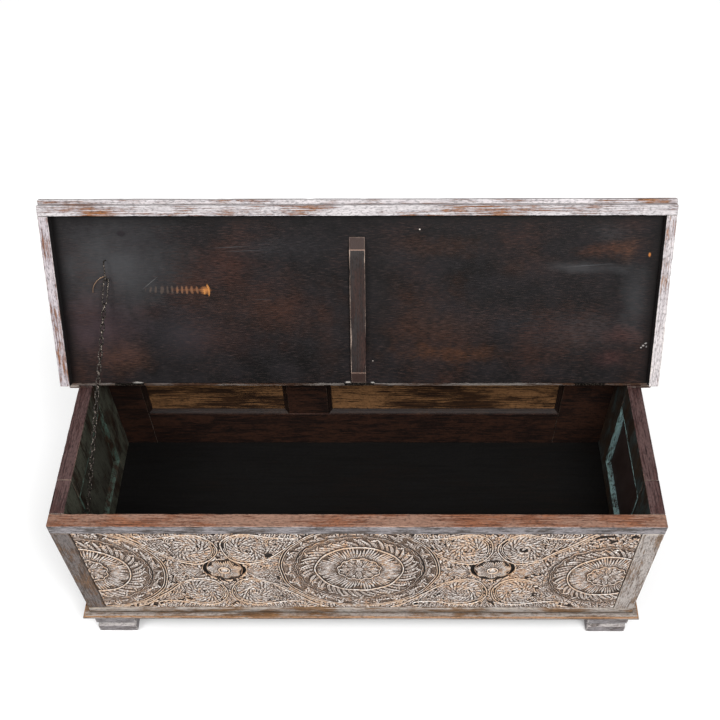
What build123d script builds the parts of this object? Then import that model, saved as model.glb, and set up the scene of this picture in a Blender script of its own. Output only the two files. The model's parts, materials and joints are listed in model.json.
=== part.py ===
"""Damchiya dowry chest: a carved, lidded wooden chest on block feet, with its lid held open by a chain.

Units are millimetres. +Z is up, +X is the chest's right seen from the front, and -Y is the front.
The origin is on the floor, under the middle of the chest with its lid open.
"""
from build123d import *
from math import cos, radians, sin
import os

os.makedirs("parts", exist_ok=True)

# ---- Driving dimensions -------------------------------------------------------------------------
# Body
body_width = 1450.0
body_depth = 550.0
box_height = 440.0  # plinth top to rim
wall = 36.0  # thickness of posts, rails and stiles
panel_thick = 14.0
floor_thick = 16.0
floor_bearer_height = 47.0
floor_bearer_thick = 24.0

# Front wall
front_rail_height = 34.0
front_bottom_rail_height = 20.0
left_post_width = 46.0
right_post_width = 52.0
arris = 2.0  # rounding of the front frame's handled edges
relief = 6.0  # depth of the carved ground
carving_lift = 12.0  # medallions and rosettes sit above the carved board's middle
border_width = 26.0  # leaf border above and below the carved field
medallion_radius = 198.0
medallion_grooves = ((50.0, 57.0), (103.0, 112.0), (150.0, 159.0))  # inner and outer radii
right_medallion_radius = 180.0
right_medallion_inset = 46.0  # its centre is inside the right post's edge
right_medallion_drop = 24.0
rosette_radius = 46.0
drop_radius = 62.0  # round end of the four drops about each rosette
drop_centre = (66.0, 112.0)  # from the rosette's centre
drop_tip = (188.0, 166.0)
drop_tip_radius = 8.0

# End walls
end_stile_width = 95.0
end_top_rail_height = 80.0
end_bottom_rail_height = 111.0

# Back wall
back_left_stile_width = 121.0
back_right_stile_width = 171.0
back_middle_stile_width = 110.0
back_middle_stile_x = -150.0
back_top_rail_height = 60.0
back_bottom_rail_height = 200.0

# Plinth and feet
plinth_height = 9.0
plinth_projection = 17.0
plinth_thick = 77.0
plinth_bevel = 2.0  # on the outer edge's upper corner
foot_height = 111.0
foot_upper_width = 110.0
foot_lower_width = 106.0
foot_upper_height = 66.0
foot_neck_height = 5.0
foot_neck_inset = 9.0
foot_round = 8.0

# Fixed rear top board and its side mouldings
top_thick = 18.0
hinge_setback = 420.0  # front face of the body to the hinge axis
joint_gap = 3.0
back_overhang = 28.0
back_round = 3.0
moulding_height = 12.0

# Lid
lid_open_angle = 120.0
lid_seat_gap = 0.5  # over the rim when closed
lid_front_reach = 456.0  # hinge axis to the front rail's outer face
lid_side_gap = 3.0
rail_thick = 25.0
rail_drop = 24.0  # below the boards' underside
board_overhang = 9.0  # boards beyond the front rail
board_end_overhang = 4.0  # boards beyond the side rails
board_gap = 1.0
front_lid_board_width = 240.0
batten_width = 38.0
batten_thick = 14.0
batten_front_gap = 54.0  # from the batten's front end to the front rail's inner face
batten_back_gap = 3.0
batten_chamfer = 32.0
batten_tip = 4.0  # thickness left at the bevelled ends

# Hinges
hinge_length = 76.0
hinge_end_gap = 133.0  # from the outer hinges' centres to the body's ends
knuckle_radius = 4.5
knuckle_lift = 0.3  # under the knuckle
knuckle_gap = 0.3
pin_radius = 2.2
pin_clearance = 0.05
pin_head = 2.0
leaf_thick = 2.0
leaf_width = 19.0
leaf_gap = 0.6  # between closed leaves
leaf_fit = 0.1
screw_radius = 1.7
screw_head_radius = 3.2
screw_length = 16.0
screw_pitch = 26.0
screw_fit = 0.05

# Chain and staples
wire = 3.0
link_width = 11.6
link_clearance = 0.25
links_per_run = 8
run_count = 4
long_link_length = 64.0  # between its end wires' centres
long_link_width = 14.0
chest_anchor_y = 110.0  # behind the front face
chest_anchor_drop = 134.0  # below the rim
chest_anchor_stand = 10.0  # off the end wall's inner face
lid_anchor_reach = 277.0  # hinge axis to the end wire, along the lid
lid_anchor_inset = 115.0  # from the body's left end to the staple in the lid
lid_staple_travel = 40.0  # room for the end wire to slide
lid_staple_gap = 14.8  # under the staple's bridge
staple_height = 34.0
staple_bite = 12.0  # length of the legs in the wood
staple_fit = 0.1

# ---- Places that follow from them ---------------------------------------------------------------
half_width = body_width / 2
plinth_z = foot_height
box_z = plinth_z + plinth_height
rim_z = box_z + box_height
top_z = rim_z + top_thick
hinge_z = top_z + lid_seat_gap + knuckle_lift + knuckle_radius

# Along Y the origin is midway between the plinth's front and the open lid's far edge.
lid_length = lid_front_reach + board_overhang
lid_top = top_thick + rim_z + lid_seat_gap - hinge_z  # boards' top face above the hinge axis
open_slope = radians(180.0 - lid_open_angle)
open_reach = hinge_setback + lid_length * cos(open_slope) + lid_top * sin(open_slope)
front_y = -(open_reach - plinth_projection) / 2
back_y = front_y + body_depth
hinge_y = front_y + hinge_setback

inner_x = half_width - wall
inner_front = front_y + wall
inner_back = back_y - wall
inner_depth = inner_back - inner_front
front_x0 = -half_width + left_post_width
front_x1 = half_width - right_post_width
front_mid_x = (front_x0 + front_x1) / 2

low = (Align.MIN, Align.MIN, Align.MIN)

# ---- Front wall: carved board between two posts, with a plain rail above and below ----------------
with BuildPart() as front_top_rail:
    with Locations((-half_width, front_y, rim_z - front_rail_height)):
        Box(body_width, wall, front_rail_height, align=low)
    rim_edges = front_top_rail.faces().sort_by(Axis.Z)[-1].edges().filter_by(Axis.X)
    fillet(rim_edges, arris)
front_top_rail.part.label = "front_top_rail"
export_step(front_top_rail.part, "parts/front_top_rail.step")

with BuildPart() as front_bottom_rail:
    with Locations((-half_width, front_y, box_z)):
        Box(body_width, wall, front_bottom_rail_height, align=low)
front_bottom_rail.part.label = "front_bottom_rail"
export_step(front_bottom_rail.part, "parts/front_bottom_rail.step")

post_z = box_z + front_bottom_rail_height
post_height = box_height - front_rail_height - front_bottom_rail_height
with BuildPart() as front_left_post:
    with Locations((-half_width, front_y, post_z)):
        Box(left_post_width, wall, post_height, align=low)
    fillet(front_left_post.edges().filter_by(Axis.Z).group_by(Axis.Y)[0].sort_by(Axis.X)[0], arris)
front_left_post.part.label = "front_left_post"
export_step(front_left_post.part, "parts/front_left_post.step")

with BuildPart() as front_right_post:
    with Locations((front_x1, front_y, post_z)):
        Box(right_post_width, wall, post_height, align=low)
    fillet(front_right_post.edges().filter_by(Axis.Z).group_by(Axis.Y)[0].sort_by(Axis.X)[-1], arris)
front_right_post.part.label = "front_right_post"
export_step(front_right_post.part, "parts/front_right_post.step")

# The carved ground is sunk by the relief; medallions, rosettes, drops and borders stand up to the face.
field_width = front_x1 - front_x0
field_z = post_z + post_height / 2
front_plane = Plane(origin=(front_mid_x, front_y, field_z), x_dir=(1, 0, 0), z_dir=(0, -1, 0))
middle_x = -front_mid_x  # the body's middle, on the front plane
rosette_places = [(middle_x + side * field_width / 4, carving_lift) for side in (-1, 1)]
medallion_places = (
    ((middle_x, carving_lift), medallion_radius),
    ((-field_width / 2, carving_lift), medallion_radius),
    ((field_width / 2 - right_medallion_inset, carving_lift - right_medallion_drop), right_medallion_radius),
)
with BuildSketch() as drop:
    with Locations(drop_centre):
        Circle(drop_radius)
    with Locations(drop_tip):
        Circle(drop_tip_radius)
    make_hull()
with BuildPart() as front_board:
    with Locations((front_x0, front_y, post_z)):
        Box(field_width, wall, post_height, align=low)
    with BuildSketch(front_plane) as ground:
        Rectangle(field_width, post_height - 2 * border_width)
        for place, radius in medallion_places:
            with Locations(place):
                Circle(radius, mode=Mode.SUBTRACT)
        with Locations(*rosette_places):
            Circle(rosette_radius, mode=Mode.SUBTRACT)
            for turned in (drop.sketch, drop.sketch.mirror(Plane.YZ)):
                add(turned, mode=Mode.SUBTRACT)
                add(turned.mirror(Plane.XZ), mode=Mode.SUBTRACT)
    extrude(ground.sketch, amount=-relief, mode=Mode.SUBTRACT)
    with BuildSketch(front_plane) as grooves:
        for place, radius in medallion_places:
            with Locations(place):
                for inner, outer in medallion_grooves:
                    Circle(outer * radius / medallion_radius)
                    Circle(inner * radius / medallion_radius, mode=Mode.SUBTRACT)
        Rectangle(field_width, post_height, mode=Mode.INTERSECT)
    extrude(grooves.sketch, amount=-relief, mode=Mode.SUBTRACT)
front_board.part.label = "front_board"
export_step(front_board.part, "parts/front_board.step")

# ---- End walls: stiles and rails around a thinner panel -------------------------------------------
panel_inset = (wall - panel_thick) / 2
end_rail_length = inner_depth - 2 * end_stile_width
end_panel_height = box_height - end_top_rail_height - end_bottom_rail_height
anchor_y = front_y + chest_anchor_y
anchor_z = rim_z - chest_anchor_drop
crossbar_y = anchor_y + wire + link_clearance
leg_offset = (staple_height - wire) / 2
for side, end_x in (("left", -half_width), ("right", inner_x)):
    with BuildPart() as end_front_stile:
        with Locations((end_x, inner_front, box_z)):
            Box(wall, end_stile_width, box_height, align=low)
        if side == "left":
            # Two blind holes take the chest staple's legs.
            with BuildSketch(Plane.YZ.offset(-inner_x)) as leg_holes:
                with Locations((crossbar_y, anchor_z - leg_offset), (crossbar_y, anchor_z + leg_offset)):
                    Circle(wire / 2 + staple_fit)
            extrude(leg_holes.sketch, amount=-staple_bite - staple_fit, mode=Mode.SUBTRACT)
    end_front_stile.part.label = side + "_end_front_stile"

    with BuildPart() as end_back_stile:
        with Locations((end_x, inner_back - end_stile_width, box_z)):
            Box(wall, end_stile_width, box_height, align=low)
    end_back_stile.part.label = side + "_end_back_stile"

    with BuildPart() as end_top_rail:
        with Locations((end_x, inner_front + end_stile_width, rim_z - end_top_rail_height)):
            Box(wall, end_rail_length, end_top_rail_height, align=low)
    end_top_rail.part.label = side + "_end_top_rail"

    with BuildPart() as end_bottom_rail:
        with Locations((end_x, inner_front + end_stile_width, box_z)):
            Box(wall, end_rail_length, end_bottom_rail_height, align=low)
    end_bottom_rail.part.label = side + "_end_bottom_rail"

    with BuildPart() as end_panel:
        panel_corner = (end_x + panel_inset, inner_front + end_stile_width, box_z + end_bottom_rail_height)
        with Locations(panel_corner):
            Box(panel_thick, end_rail_length, end_panel_height, align=low)
    end_panel.part.label = side + "_end_panel"

    for piece in (end_front_stile, end_back_stile, end_top_rail, end_bottom_rail, end_panel):
        export_step(piece.part, "parts/" + piece.part.label + ".step")

# ---- Back wall: three stiles, two rails and two panels --------------------------------------------
with BuildPart() as back_left_stile:
    with Locations((-half_width, inner_back, box_z)):
        Box(back_left_stile_width, wall, box_height, align=low)
back_left_stile.part.label = "back_left_stile"
export_step(back_left_stile.part, "parts/back_left_stile.step")

with BuildPart() as back_right_stile:
    with Locations((half_width - back_right_stile_width, inner_back, box_z)):
        Box(back_right_stile_width, wall, box_height, align=low)
back_right_stile.part.label = "back_right_stile"
export_step(back_right_stile.part, "parts/back_right_stile.step")

back_rail_x = -half_width + back_left_stile_width
back_rail_length = body_width - back_left_stile_width - back_right_stile_width
with BuildPart() as back_top_rail:
    with Locations((back_rail_x, inner_back, rim_z - back_top_rail_height)):
        Box(back_rail_length, wall, back_top_rail_height, align=low)
back_top_rail.part.label = "back_top_rail"
export_step(back_top_rail.part, "parts/back_top_rail.step")

with BuildPart() as back_bottom_rail:
    with Locations((back_rail_x, inner_back, box_z)):
        Box(back_rail_length, wall, back_bottom_rail_height, align=low)
back_bottom_rail.part.label = "back_bottom_rail"
export_step(back_bottom_rail.part, "parts/back_bottom_rail.step")

back_panel_z = box_z + back_bottom_rail_height
back_panel_height = box_height - back_bottom_rail_height - back_top_rail_height
middle_x0 = back_middle_stile_x - back_middle_stile_width / 2
middle_x1 = back_middle_stile_x + back_middle_stile_width / 2
with BuildPart() as back_middle_stile:
    with Locations((middle_x0, inner_back, back_panel_z)):
        Box(back_middle_stile_width, wall, back_panel_height, align=low)
back_middle_stile.part.label = "back_middle_stile"
export_step(back_middle_stile.part, "parts/back_middle_stile.step")

with BuildPart() as back_left_panel:
    with Locations((back_rail_x, inner_back + panel_inset, back_panel_z)):
        Box(middle_x0 - back_rail_x, panel_thick, back_panel_height, align=low)
back_left_panel.part.label = "back_left_panel"
export_step(back_left_panel.part, "parts/back_left_panel.step")

with BuildPart() as back_right_panel:
    with Locations((middle_x1, inner_back + panel_inset, back_panel_z)):
        Box(back_rail_x + back_rail_length - middle_x1, panel_thick, back_panel_height, align=low)
back_right_panel.part.label = "back_right_panel"
export_step(back_right_panel.part, "parts/back_right_panel.step")

# ---- Floor: two boards on a bearer along each long wall --------------------------------------------
bearer_places = (("floor_front_bearer", inner_front), ("floor_back_bearer", inner_back - floor_bearer_thick))
for name, bearer_y in bearer_places:
    with BuildPart() as floor_bearer:
        with Locations((-inner_x, bearer_y, box_z)):
            Box(2 * inner_x, floor_bearer_thick, floor_bearer_height, align=low)
    floor_bearer.part.label = name
    export_step(floor_bearer.part, "parts/" + name + ".step")

floor_z = box_z + floor_bearer_height
for name, row in (("floor_front_board", 0), ("floor_back_board", 1)):
    with BuildPart() as floor_board:
        with Locations((-inner_x, inner_front + row * inner_depth / 2, floor_z)):
            Box(2 * inner_x, inner_depth / 2, floor_thick, align=low)
    floor_board.part.label = name
    export_step(floor_board.part, "parts/" + name + ".step")

# ---- Plinth: thin mitred boards under the walls, projecting as a ledge -----------------------------
plinth_profile = [
    (0, 0),
    (plinth_thick, 0),
    (plinth_thick, plinth_height),
    (plinth_bevel, plinth_height),
    (0, plinth_height - plinth_bevel),
]
plinth_x = half_width + plinth_projection
plinth_y0 = front_y - plinth_projection
plinth_y1 = back_y + plinth_projection
plinth_mid_y = (plinth_y0 + plinth_y1) / 2
plinth_sides = (
    ("plinth_front", Vector(0, plinth_y0, plinth_z), Vector(0, 1, 0), 2 * plinth_x),
    ("plinth_back", Vector(0, plinth_y1, plinth_z), Vector(0, -1, 0), 2 * plinth_x),
    ("plinth_left", Vector(-plinth_x, plinth_mid_y, plinth_z), Vector(1, 0, 0), plinth_y1 - plinth_y0),
    ("plinth_right", Vector(plinth_x, plinth_mid_y, plinth_z), Vector(-1, 0, 0), plinth_y1 - plinth_y0),
)
for name, corner, inward, length in plinth_sides:
    along = Vector(0, 0, 1).cross(inward)
    with BuildPart() as plinth_side:
        section_plane = Plane(origin=corner, x_dir=inward, z_dir=inward.cross(Vector(0, 0, 1)))
        with BuildSketch(section_plane) as section:
            with BuildLine():
                Polyline(*plinth_profile, close=True)
            make_face()
        extrude(section.sketch, amount=length / 2, both=True)
        for end in (-1, 1):
            mitre = corner + along * (end * length / 2)
            split(bisect_by=Plane(origin=mitre, z_dir=along * end + inward), keep=Keep.BOTTOM)
    plinth_side.part.label = name
    export_step(plinth_side.part, "parts/" + name + ".step")

# ---- Feet: a rounded block over a bevelled one, with a neck between --------------------------------
foot_lower_height = foot_height - foot_upper_height - foot_neck_height
for name, side_x, side_y in (
    ("foot_front_left", -1, -1),
    ("foot_front_right", 1, -1),
    ("foot_back_left", -1, 1),
    ("foot_back_right", 1, 1),
):
    lower_x = side_x * (half_width - foot_lower_width / 2)
    lower_y = (front_y if side_y < 0 else back_y) - side_y * foot_lower_width / 2
    with BuildPart() as lower_block:
        with Locations((lower_x, lower_y, foot_lower_height / 2)):
            Box(foot_lower_width, foot_lower_width, foot_lower_height)
        chamfer(lower_block.faces().sort_by(Axis.Z)[-1].edges(), foot_neck_inset)
        chamfer(lower_block.faces().sort_by(Axis.Z)[0].edges(), foot_neck_inset / 2)

    foot_x = side_x * (half_width - foot_upper_width / 2)
    foot_y = (front_y if side_y < 0 else back_y) - side_y * foot_upper_width / 2
    upper_z = foot_height - foot_upper_height
    neck_width = foot_lower_width - 2 * foot_neck_inset
    with BuildPart() as foot:
        with Locations((foot_x, foot_y, upper_z + foot_upper_height / 2)):
            Box(foot_upper_width, foot_upper_width, foot_upper_height)
        fillet(foot.faces().sort_by(Axis.Z)[0].edges(), foot_round)
        with Locations((lower_x, lower_y, upper_z - foot_neck_height / 2)):
            Box(neck_width, neck_width, foot_neck_height)
        add(lower_block.part)
    foot.part.label = name
    export_step(foot.part, "parts/" + name + ".step")

# ---- Fixed rear top board, let in for the hinge leaves, and the mouldings under its ends -----------
rail_x = half_width + lid_side_gap + rail_thick  # outer faces of the lid's side rails
top_x = rail_x + board_end_overhang
joint_y = hinge_y + joint_gap / 2
hinge_reach = half_width - hinge_end_gap
hinge_places = (("left", -hinge_reach), ("middle", 0.0), ("right", hinge_reach))
screw_offsets = (-screw_pitch, 0.0, screw_pitch)
leaf_bottom = hinge_z - leaf_width
screw_z = (leaf_bottom + top_z) / 2
leaf_back = hinge_y + leaf_gap / 2 + leaf_thick  # rear face of the chest leaves
with BuildPart() as rear_top_board:
    with Locations((-top_x, joint_y, rim_z)):
        Box(2 * top_x, back_y + back_overhang - joint_y, top_thick, align=low)
    for _, place_x in hinge_places:
        with Locations((place_x, leaf_back + leaf_fit, leaf_bottom - leaf_fit)):
            Box(
                hinge_length + 2 * leaf_fit,
                leaf_back + leaf_fit - joint_y,
                top_z - leaf_bottom + leaf_fit,
                align=(Align.CENTER, Align.MAX, Align.MIN),
                mode=Mode.SUBTRACT,
            )
        bore_plane = Plane(origin=(place_x, leaf_back, screw_z), x_dir=(1, 0, 0), z_dir=(0, 1, 0))
        with BuildSketch(bore_plane) as bores:
            with Locations(*[(offset_x, 0) for offset_x in screw_offsets]):
                Circle(screw_radius)
        extrude(bores.sketch, amount=screw_length + screw_fit, mode=Mode.SUBTRACT)
    fillet(rear_top_board.edges().filter_by(Axis.X).group_by(Axis.Y)[-1], back_round)
rear_top_board.part.label = "rear_top_board"
export_step(rear_top_board.part, "parts/rear_top_board.step")

for name, moulding_x in (("left_top_moulding", -rail_x), ("right_top_moulding", half_width)):
    with BuildPart() as top_moulding:
        with Locations((moulding_x, joint_y, rim_z - moulding_height)):
            Box(rail_x - half_width, back_y - joint_y, moulding_height, align=low)
        outer_x = Axis.X if moulding_x > 0 else -Axis.X
        outer_edges = top_moulding.edges().filter_by(Axis.Y).group_by(Axis.Z)[0]
        fillet(outer_edges.sort_by(outer_x)[-1], moulding_height / 2)
    top_moulding.part.label = name
    export_step(top_moulding.part, "parts/" + name + ".step")

# ---- Hinges: three butt hinges in the joint between the rear board and the lid ---------------------
# The lid's own frame has its origin on the hinge axis; unrotated, it is the closed lid's frame.
lid_tilt = radians(lid_open_angle)
lid_frame = Plane(origin=(0, hinge_y, hinge_z), x_dir=(1, 0, 0), z_dir=(0, sin(lid_tilt), cos(lid_tilt)))
chest_frame = Plane(origin=(0, hinge_y, hinge_z), x_dir=(1, 0, 0), z_dir=(0, 0, 1))
knuckle_count = 5
knuckle_pitch = hinge_length / knuckle_count
knuckle_length = knuckle_pitch - knuckle_gap
bore_radius = pin_radius + pin_clearance
screw_local_z = screw_z - hinge_z
for side, place_x in hinge_places:
    for owner, frame, rear in (("chest", chest_frame, 1), ("lid", lid_frame, -1)):
        # Chest leaves carry the odd knuckles, lid leaves the even ones.
        kept = [k for k in range(knuckle_count) if (k % 2 == 0) == (owner == "chest")]
        with BuildPart(frame) as leaf:
            with Locations((place_x, rear * (leaf_gap + leaf_thick) / 2, -leaf_width)):
                Box(hinge_length, leaf_thick, leaf_width, align=(Align.CENTER, Align.CENTER, Align.MIN))
            for k in range(knuckle_count):
                knuckle_x = place_x + (k - (knuckle_count - 1) / 2) * knuckle_pitch
                if k in kept:
                    with Locations(Location((knuckle_x, 0, 0), (0, 90, 0))):
                        Cylinder(knuckle_radius, knuckle_length)
                else:
                    with Locations(Location((knuckle_x, 0, 0), (0, 90, 0))):
                        Cylinder(
                            knuckle_radius + knuckle_gap,
                            knuckle_pitch + knuckle_gap,
                            mode=Mode.SUBTRACT,
                        )
            with Locations(Location((place_x, 0, 0), (0, 90, 0))):
                Cylinder(bore_radius, hinge_length + 2, mode=Mode.SUBTRACT)
            for offset_x in screw_offsets:
                head_spot = (place_x + offset_x, rear * leaf_gap / 2, screw_local_z)
                with Locations(Location(head_spot, (90 * rear, 0, 0))):
                    CounterSinkHole(screw_radius, screw_head_radius, leaf_thick + 1, 90)
        leaf.part.label = side + "_hinge_" + owner + "_leaf"
        export_step(leaf.part, "parts/" + leaf.part.label + ".step")

# Three identical pins, one through each hinge's knuckles.
with BuildPart(chest_frame) as hinge_pins:
    for _, place_x in hinge_places:
        with Locations(Location((place_x, 0, 0), (0, 90, 0))):
            Cylinder(pin_radius, hinge_length)
        for end in (-1, 1):
            head_x = place_x + end * (hinge_length + pin_head) / 2
            with Locations(Location((head_x, 0, 0), (0, 90, 0))):
                Cylinder(knuckle_radius - knuckle_gap, pin_head)
hinge_pins.part.label = "hinge_pins"
export_step(hinge_pins.part, "parts/hinge_pins.step")

# Countersunk screws, one group in the rear board and one in the lid.
for name, frame, rear in (("hinge_screws_chest", chest_frame, 1), ("hinge_screws_lid", lid_frame, -1)):
    head_radius = screw_head_radius - screw_fit
    shank_radius = screw_radius - screw_fit
    head_depth = head_radius - shank_radius
    with BuildPart(frame) as screws:
        for _, place_x in hinge_places:
            for offset_x in screw_offsets:
                head_spot = (place_x + offset_x, rear * (leaf_gap / 2 + screw_fit), screw_local_z)
                with Locations(Location(head_spot, (-90 * rear, 0, 0))):
                    Cone(head_radius, shank_radius, head_depth, align=(Align.CENTER, Align.CENTER, Align.MIN))
                    Cylinder(shank_radius, screw_length, align=(Align.CENTER, Align.CENTER, Align.MIN))
    screws.part.label = name
    export_step(screws.part, "parts/" + name + ".step")

# ---- Lid: two boards on a three-sided rail, with a batten across the middle ------------------------
board_z = rim_z + lid_seat_gap - hinge_z  # boards' underside in the lid's frame
board_back = -joint_gap / 2
board_front = -lid_length
lid_joint = board_front + front_lid_board_width
lid_anchor_x = lid_anchor_inset - half_width
slide_start = -lid_anchor_reach + wire + link_clearance
slide_end = slide_start - lid_staple_travel - 2 * (wire + link_clearance)
staple_legs = [(lid_anchor_x, leg_y, board_z) for leg_y in (slide_start, slide_end)]
leg_hole = (wire / 2 + staple_fit, staple_bite + staple_fit)
upright = (Align.CENTER, Align.CENTER, Align.MIN)
with BuildPart(lid_frame) as lid_front_board:
    with Locations((-top_x, board_front, board_z)):
        Box(2 * top_x, front_lid_board_width, top_thick, align=low)
    with Locations(*staple_legs):
        Cylinder(*leg_hole, align=upright, mode=Mode.SUBTRACT)
lid_front_board.part.label = "lid_front_board"
export_step(lid_front_board.part, "parts/lid_front_board.step")

leaf_front = -(leaf_gap / 2 + leaf_thick)
with BuildPart(lid_frame) as lid_back_board:
    with Locations((-top_x, lid_joint + board_gap, board_z)):
        Box(2 * top_x, board_back - lid_joint - board_gap, top_thick, align=low)
    for _, place_x in hinge_places:
        with Locations((place_x, leaf_front - leaf_fit, -leaf_width - leaf_fit)):
            Box(
                hinge_length + 2 * leaf_fit,
                board_back - leaf_front + leaf_fit,
                board_z + top_thick + leaf_width + leaf_fit,
                align=(Align.CENTER, Align.MIN, Align.MIN),
                mode=Mode.SUBTRACT,
            )
        for offset_x in screw_offsets:
            bore_spot = (place_x + offset_x, leaf_front - (screw_length + screw_fit) / 2, screw_local_z)
            with Locations(Location(bore_spot, (90, 0, 0))):
                Cylinder(screw_radius, screw_length + screw_fit, mode=Mode.SUBTRACT)
    with Locations(*staple_legs):
        Cylinder(*leg_hole, align=upright, mode=Mode.SUBTRACT)
lid_back_board.part.label = "lid_back_board"
export_step(lid_back_board.part, "parts/lid_back_board.step")

rail_z = board_z - rail_drop
rail_front = -lid_front_reach
with BuildPart(lid_frame) as lid_front_rail:
    with Locations((-rail_x, rail_front, rail_z)):
        Box(2 * rail_x, rail_thick, rail_drop, align=low)
lid_front_rail.part.label = "lid_front_rail"
export_step(lid_front_rail.part, "parts/lid_front_rail.step")

side_rail_front = rail_front + rail_thick
for name, side_rail_x in (("lid_left_rail", -rail_x), ("lid_right_rail", rail_x - rail_thick)):
    with BuildPart(lid_frame) as side_rail:
        with Locations((side_rail_x, side_rail_front, rail_z)):
            Box(rail_thick, board_back - side_rail_front, rail_drop, align=low)
    side_rail.part.label = name
    export_step(side_rail.part, "parts/" + name + ".step")

# The batten's ends are bevelled on its free face.
batten_front = side_rail_front + batten_front_gap
batten_back = board_back - batten_back_gap
with BuildPart(lid_frame) as lid_batten:
    with Locations((-batten_width / 2, batten_front, board_z - batten_thick)):
        Box(batten_width, batten_back - batten_front, batten_thick, align=low)
    batten_ends = lid_batten.edges().filter_by(Axis.X)
    half_depth = board_z - batten_thick / 2
    free_edges = [edge for edge in batten_ends if lid_frame.to_local_coords(edge.center()).Z < half_depth]
    chamfer(free_edges, batten_thick - batten_tip, batten_chamfer)
lid_batten.part.label = "lid_batten"
export_step(lid_batten.part, "parts/lid_batten.step")

# ---- Staples: one in the left end wall, one under the lid -------------------------------------------
crossbar_x = -inner_x + chest_anchor_stand
with BuildPart() as chest_staple:
    with BuildLine() as staple_path:
        FilletPolyline(
            (-inner_x - staple_bite, crossbar_y, anchor_z - leg_offset),
            (crossbar_x, crossbar_y, anchor_z - leg_offset),
            (crossbar_x, crossbar_y, anchor_z + leg_offset),
            (-inner_x - staple_bite, crossbar_y, anchor_z + leg_offset),
            radius=wire * 1.5,
        )
    with BuildSketch(Plane(origin=staple_path.line @ 0, z_dir=staple_path.line % 0)):
        Circle(wire / 2)
    sweep()
chest_staple.part.label = "chest_staple"
export_step(chest_staple.part, "parts/chest_staple.step")

# The lid's staple runs along the lid, so that the chain's end wire can slide in it as the lid closes.
bridge_z = board_z - lid_staple_gap - wire / 2
leg_top = board_z + staple_bite
with BuildPart() as lid_staple:
    with BuildLine(lid_frame) as staple_path:
        FilletPolyline(
            (lid_anchor_x, slide_start, leg_top),
            (lid_anchor_x, slide_start, bridge_z),
            (lid_anchor_x, slide_end, bridge_z),
            (lid_anchor_x, slide_end, leg_top),
            radius=wire * 1.2,
        )
    with BuildSketch(Plane(origin=staple_path.line @ 0, z_dir=staple_path.line % 0)):
        Circle(wire / 2)
    sweep()
lid_staple.part.label = "lid_staple"
export_step(lid_staple.part, "parts/lid_staple.step")

# ---- Chain: four runs of links and a long end link, taut between the staples ----------------------
pull_start = Vector(crossbar_x, anchor_y, anchor_z)
end_wire_z = board_z - lid_staple_gap / 2
pull_end = lid_frame.from_local_coords(Vector(lid_anchor_x, -lid_anchor_reach, end_wire_z))
pull = (pull_end - pull_start).normalized()
taut_length = (pull_end - pull_start).length
link_pitch = (taut_length - long_link_length) / (links_per_run * run_count)
flat_normal = Vector(1, 0, 0).cross(pull).normalized()
edge_normal = pull.cross(flat_normal)
for run in range(run_count):
    with BuildPart() as chain_run:
        for k in range(links_per_run):
            # Flat links alternate with links on edge; each run starts with a flat one, on its pivot.
            near = pull_start + pull * ((run * links_per_run + k) * link_pitch)
            normal = flat_normal if k % 2 == 0 else edge_normal
            end_radius = (link_width - wire) / 2
            straight = link_pitch + link_clearance + wire - 2 * end_radius
            with BuildLine(Plane(origin=near + pull * end_radius, x_dir=pull, z_dir=normal)) as loop:
                Line((0, end_radius), (straight, end_radius))
                ThreePointArc((straight, end_radius), (straight + end_radius, 0), (straight, -end_radius))
                Line((straight, -end_radius), (0, -end_radius))
                ThreePointArc((0, -end_radius), (-end_radius, 0), (0, end_radius))
            with BuildSketch(Plane(origin=loop.line @ 0, z_dir=loop.line % 0)):
                Circle(wire / 2)
            sweep(path=loop.wire())
    chain_run.part.label = "chain_run_" + str(run + 1)
    export_step(chain_run.part, "parts/" + chain_run.part.label + ".step")

long_near = pull_start + pull * (run_count * links_per_run * link_pitch)
with BuildPart() as chain_long_link:
    end_radius = (long_link_width - wire) / 2
    straight = long_link_length - 2 * end_radius
    with BuildLine(Plane(origin=long_near + pull * end_radius, x_dir=pull, z_dir=flat_normal)) as loop:
        Line((0, end_radius), (straight, end_radius))
        ThreePointArc((straight, end_radius), (straight + end_radius, 0), (straight, -end_radius))
        Line((straight, -end_radius), (0, -end_radius))
        ThreePointArc((0, -end_radius), (-end_radius, 0), (0, end_radius))
    with BuildSketch(Plane(origin=loop.line @ 0, z_dir=loop.line % 0)):
        Circle(wire / 2)
    sweep(path=loop.wire())
chain_long_link.part.label = "chain_long_link"
export_step(chain_long_link.part, "parts/chain_long_link.step")
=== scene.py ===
"""A damchiya dowry chest of old hardwood, limed and painted, with its lid held open by a chain."""
import json
from math import cos, pi, radians, sin

import bpy
import numpy as np
from mathutils import Matrix, Vector

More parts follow.
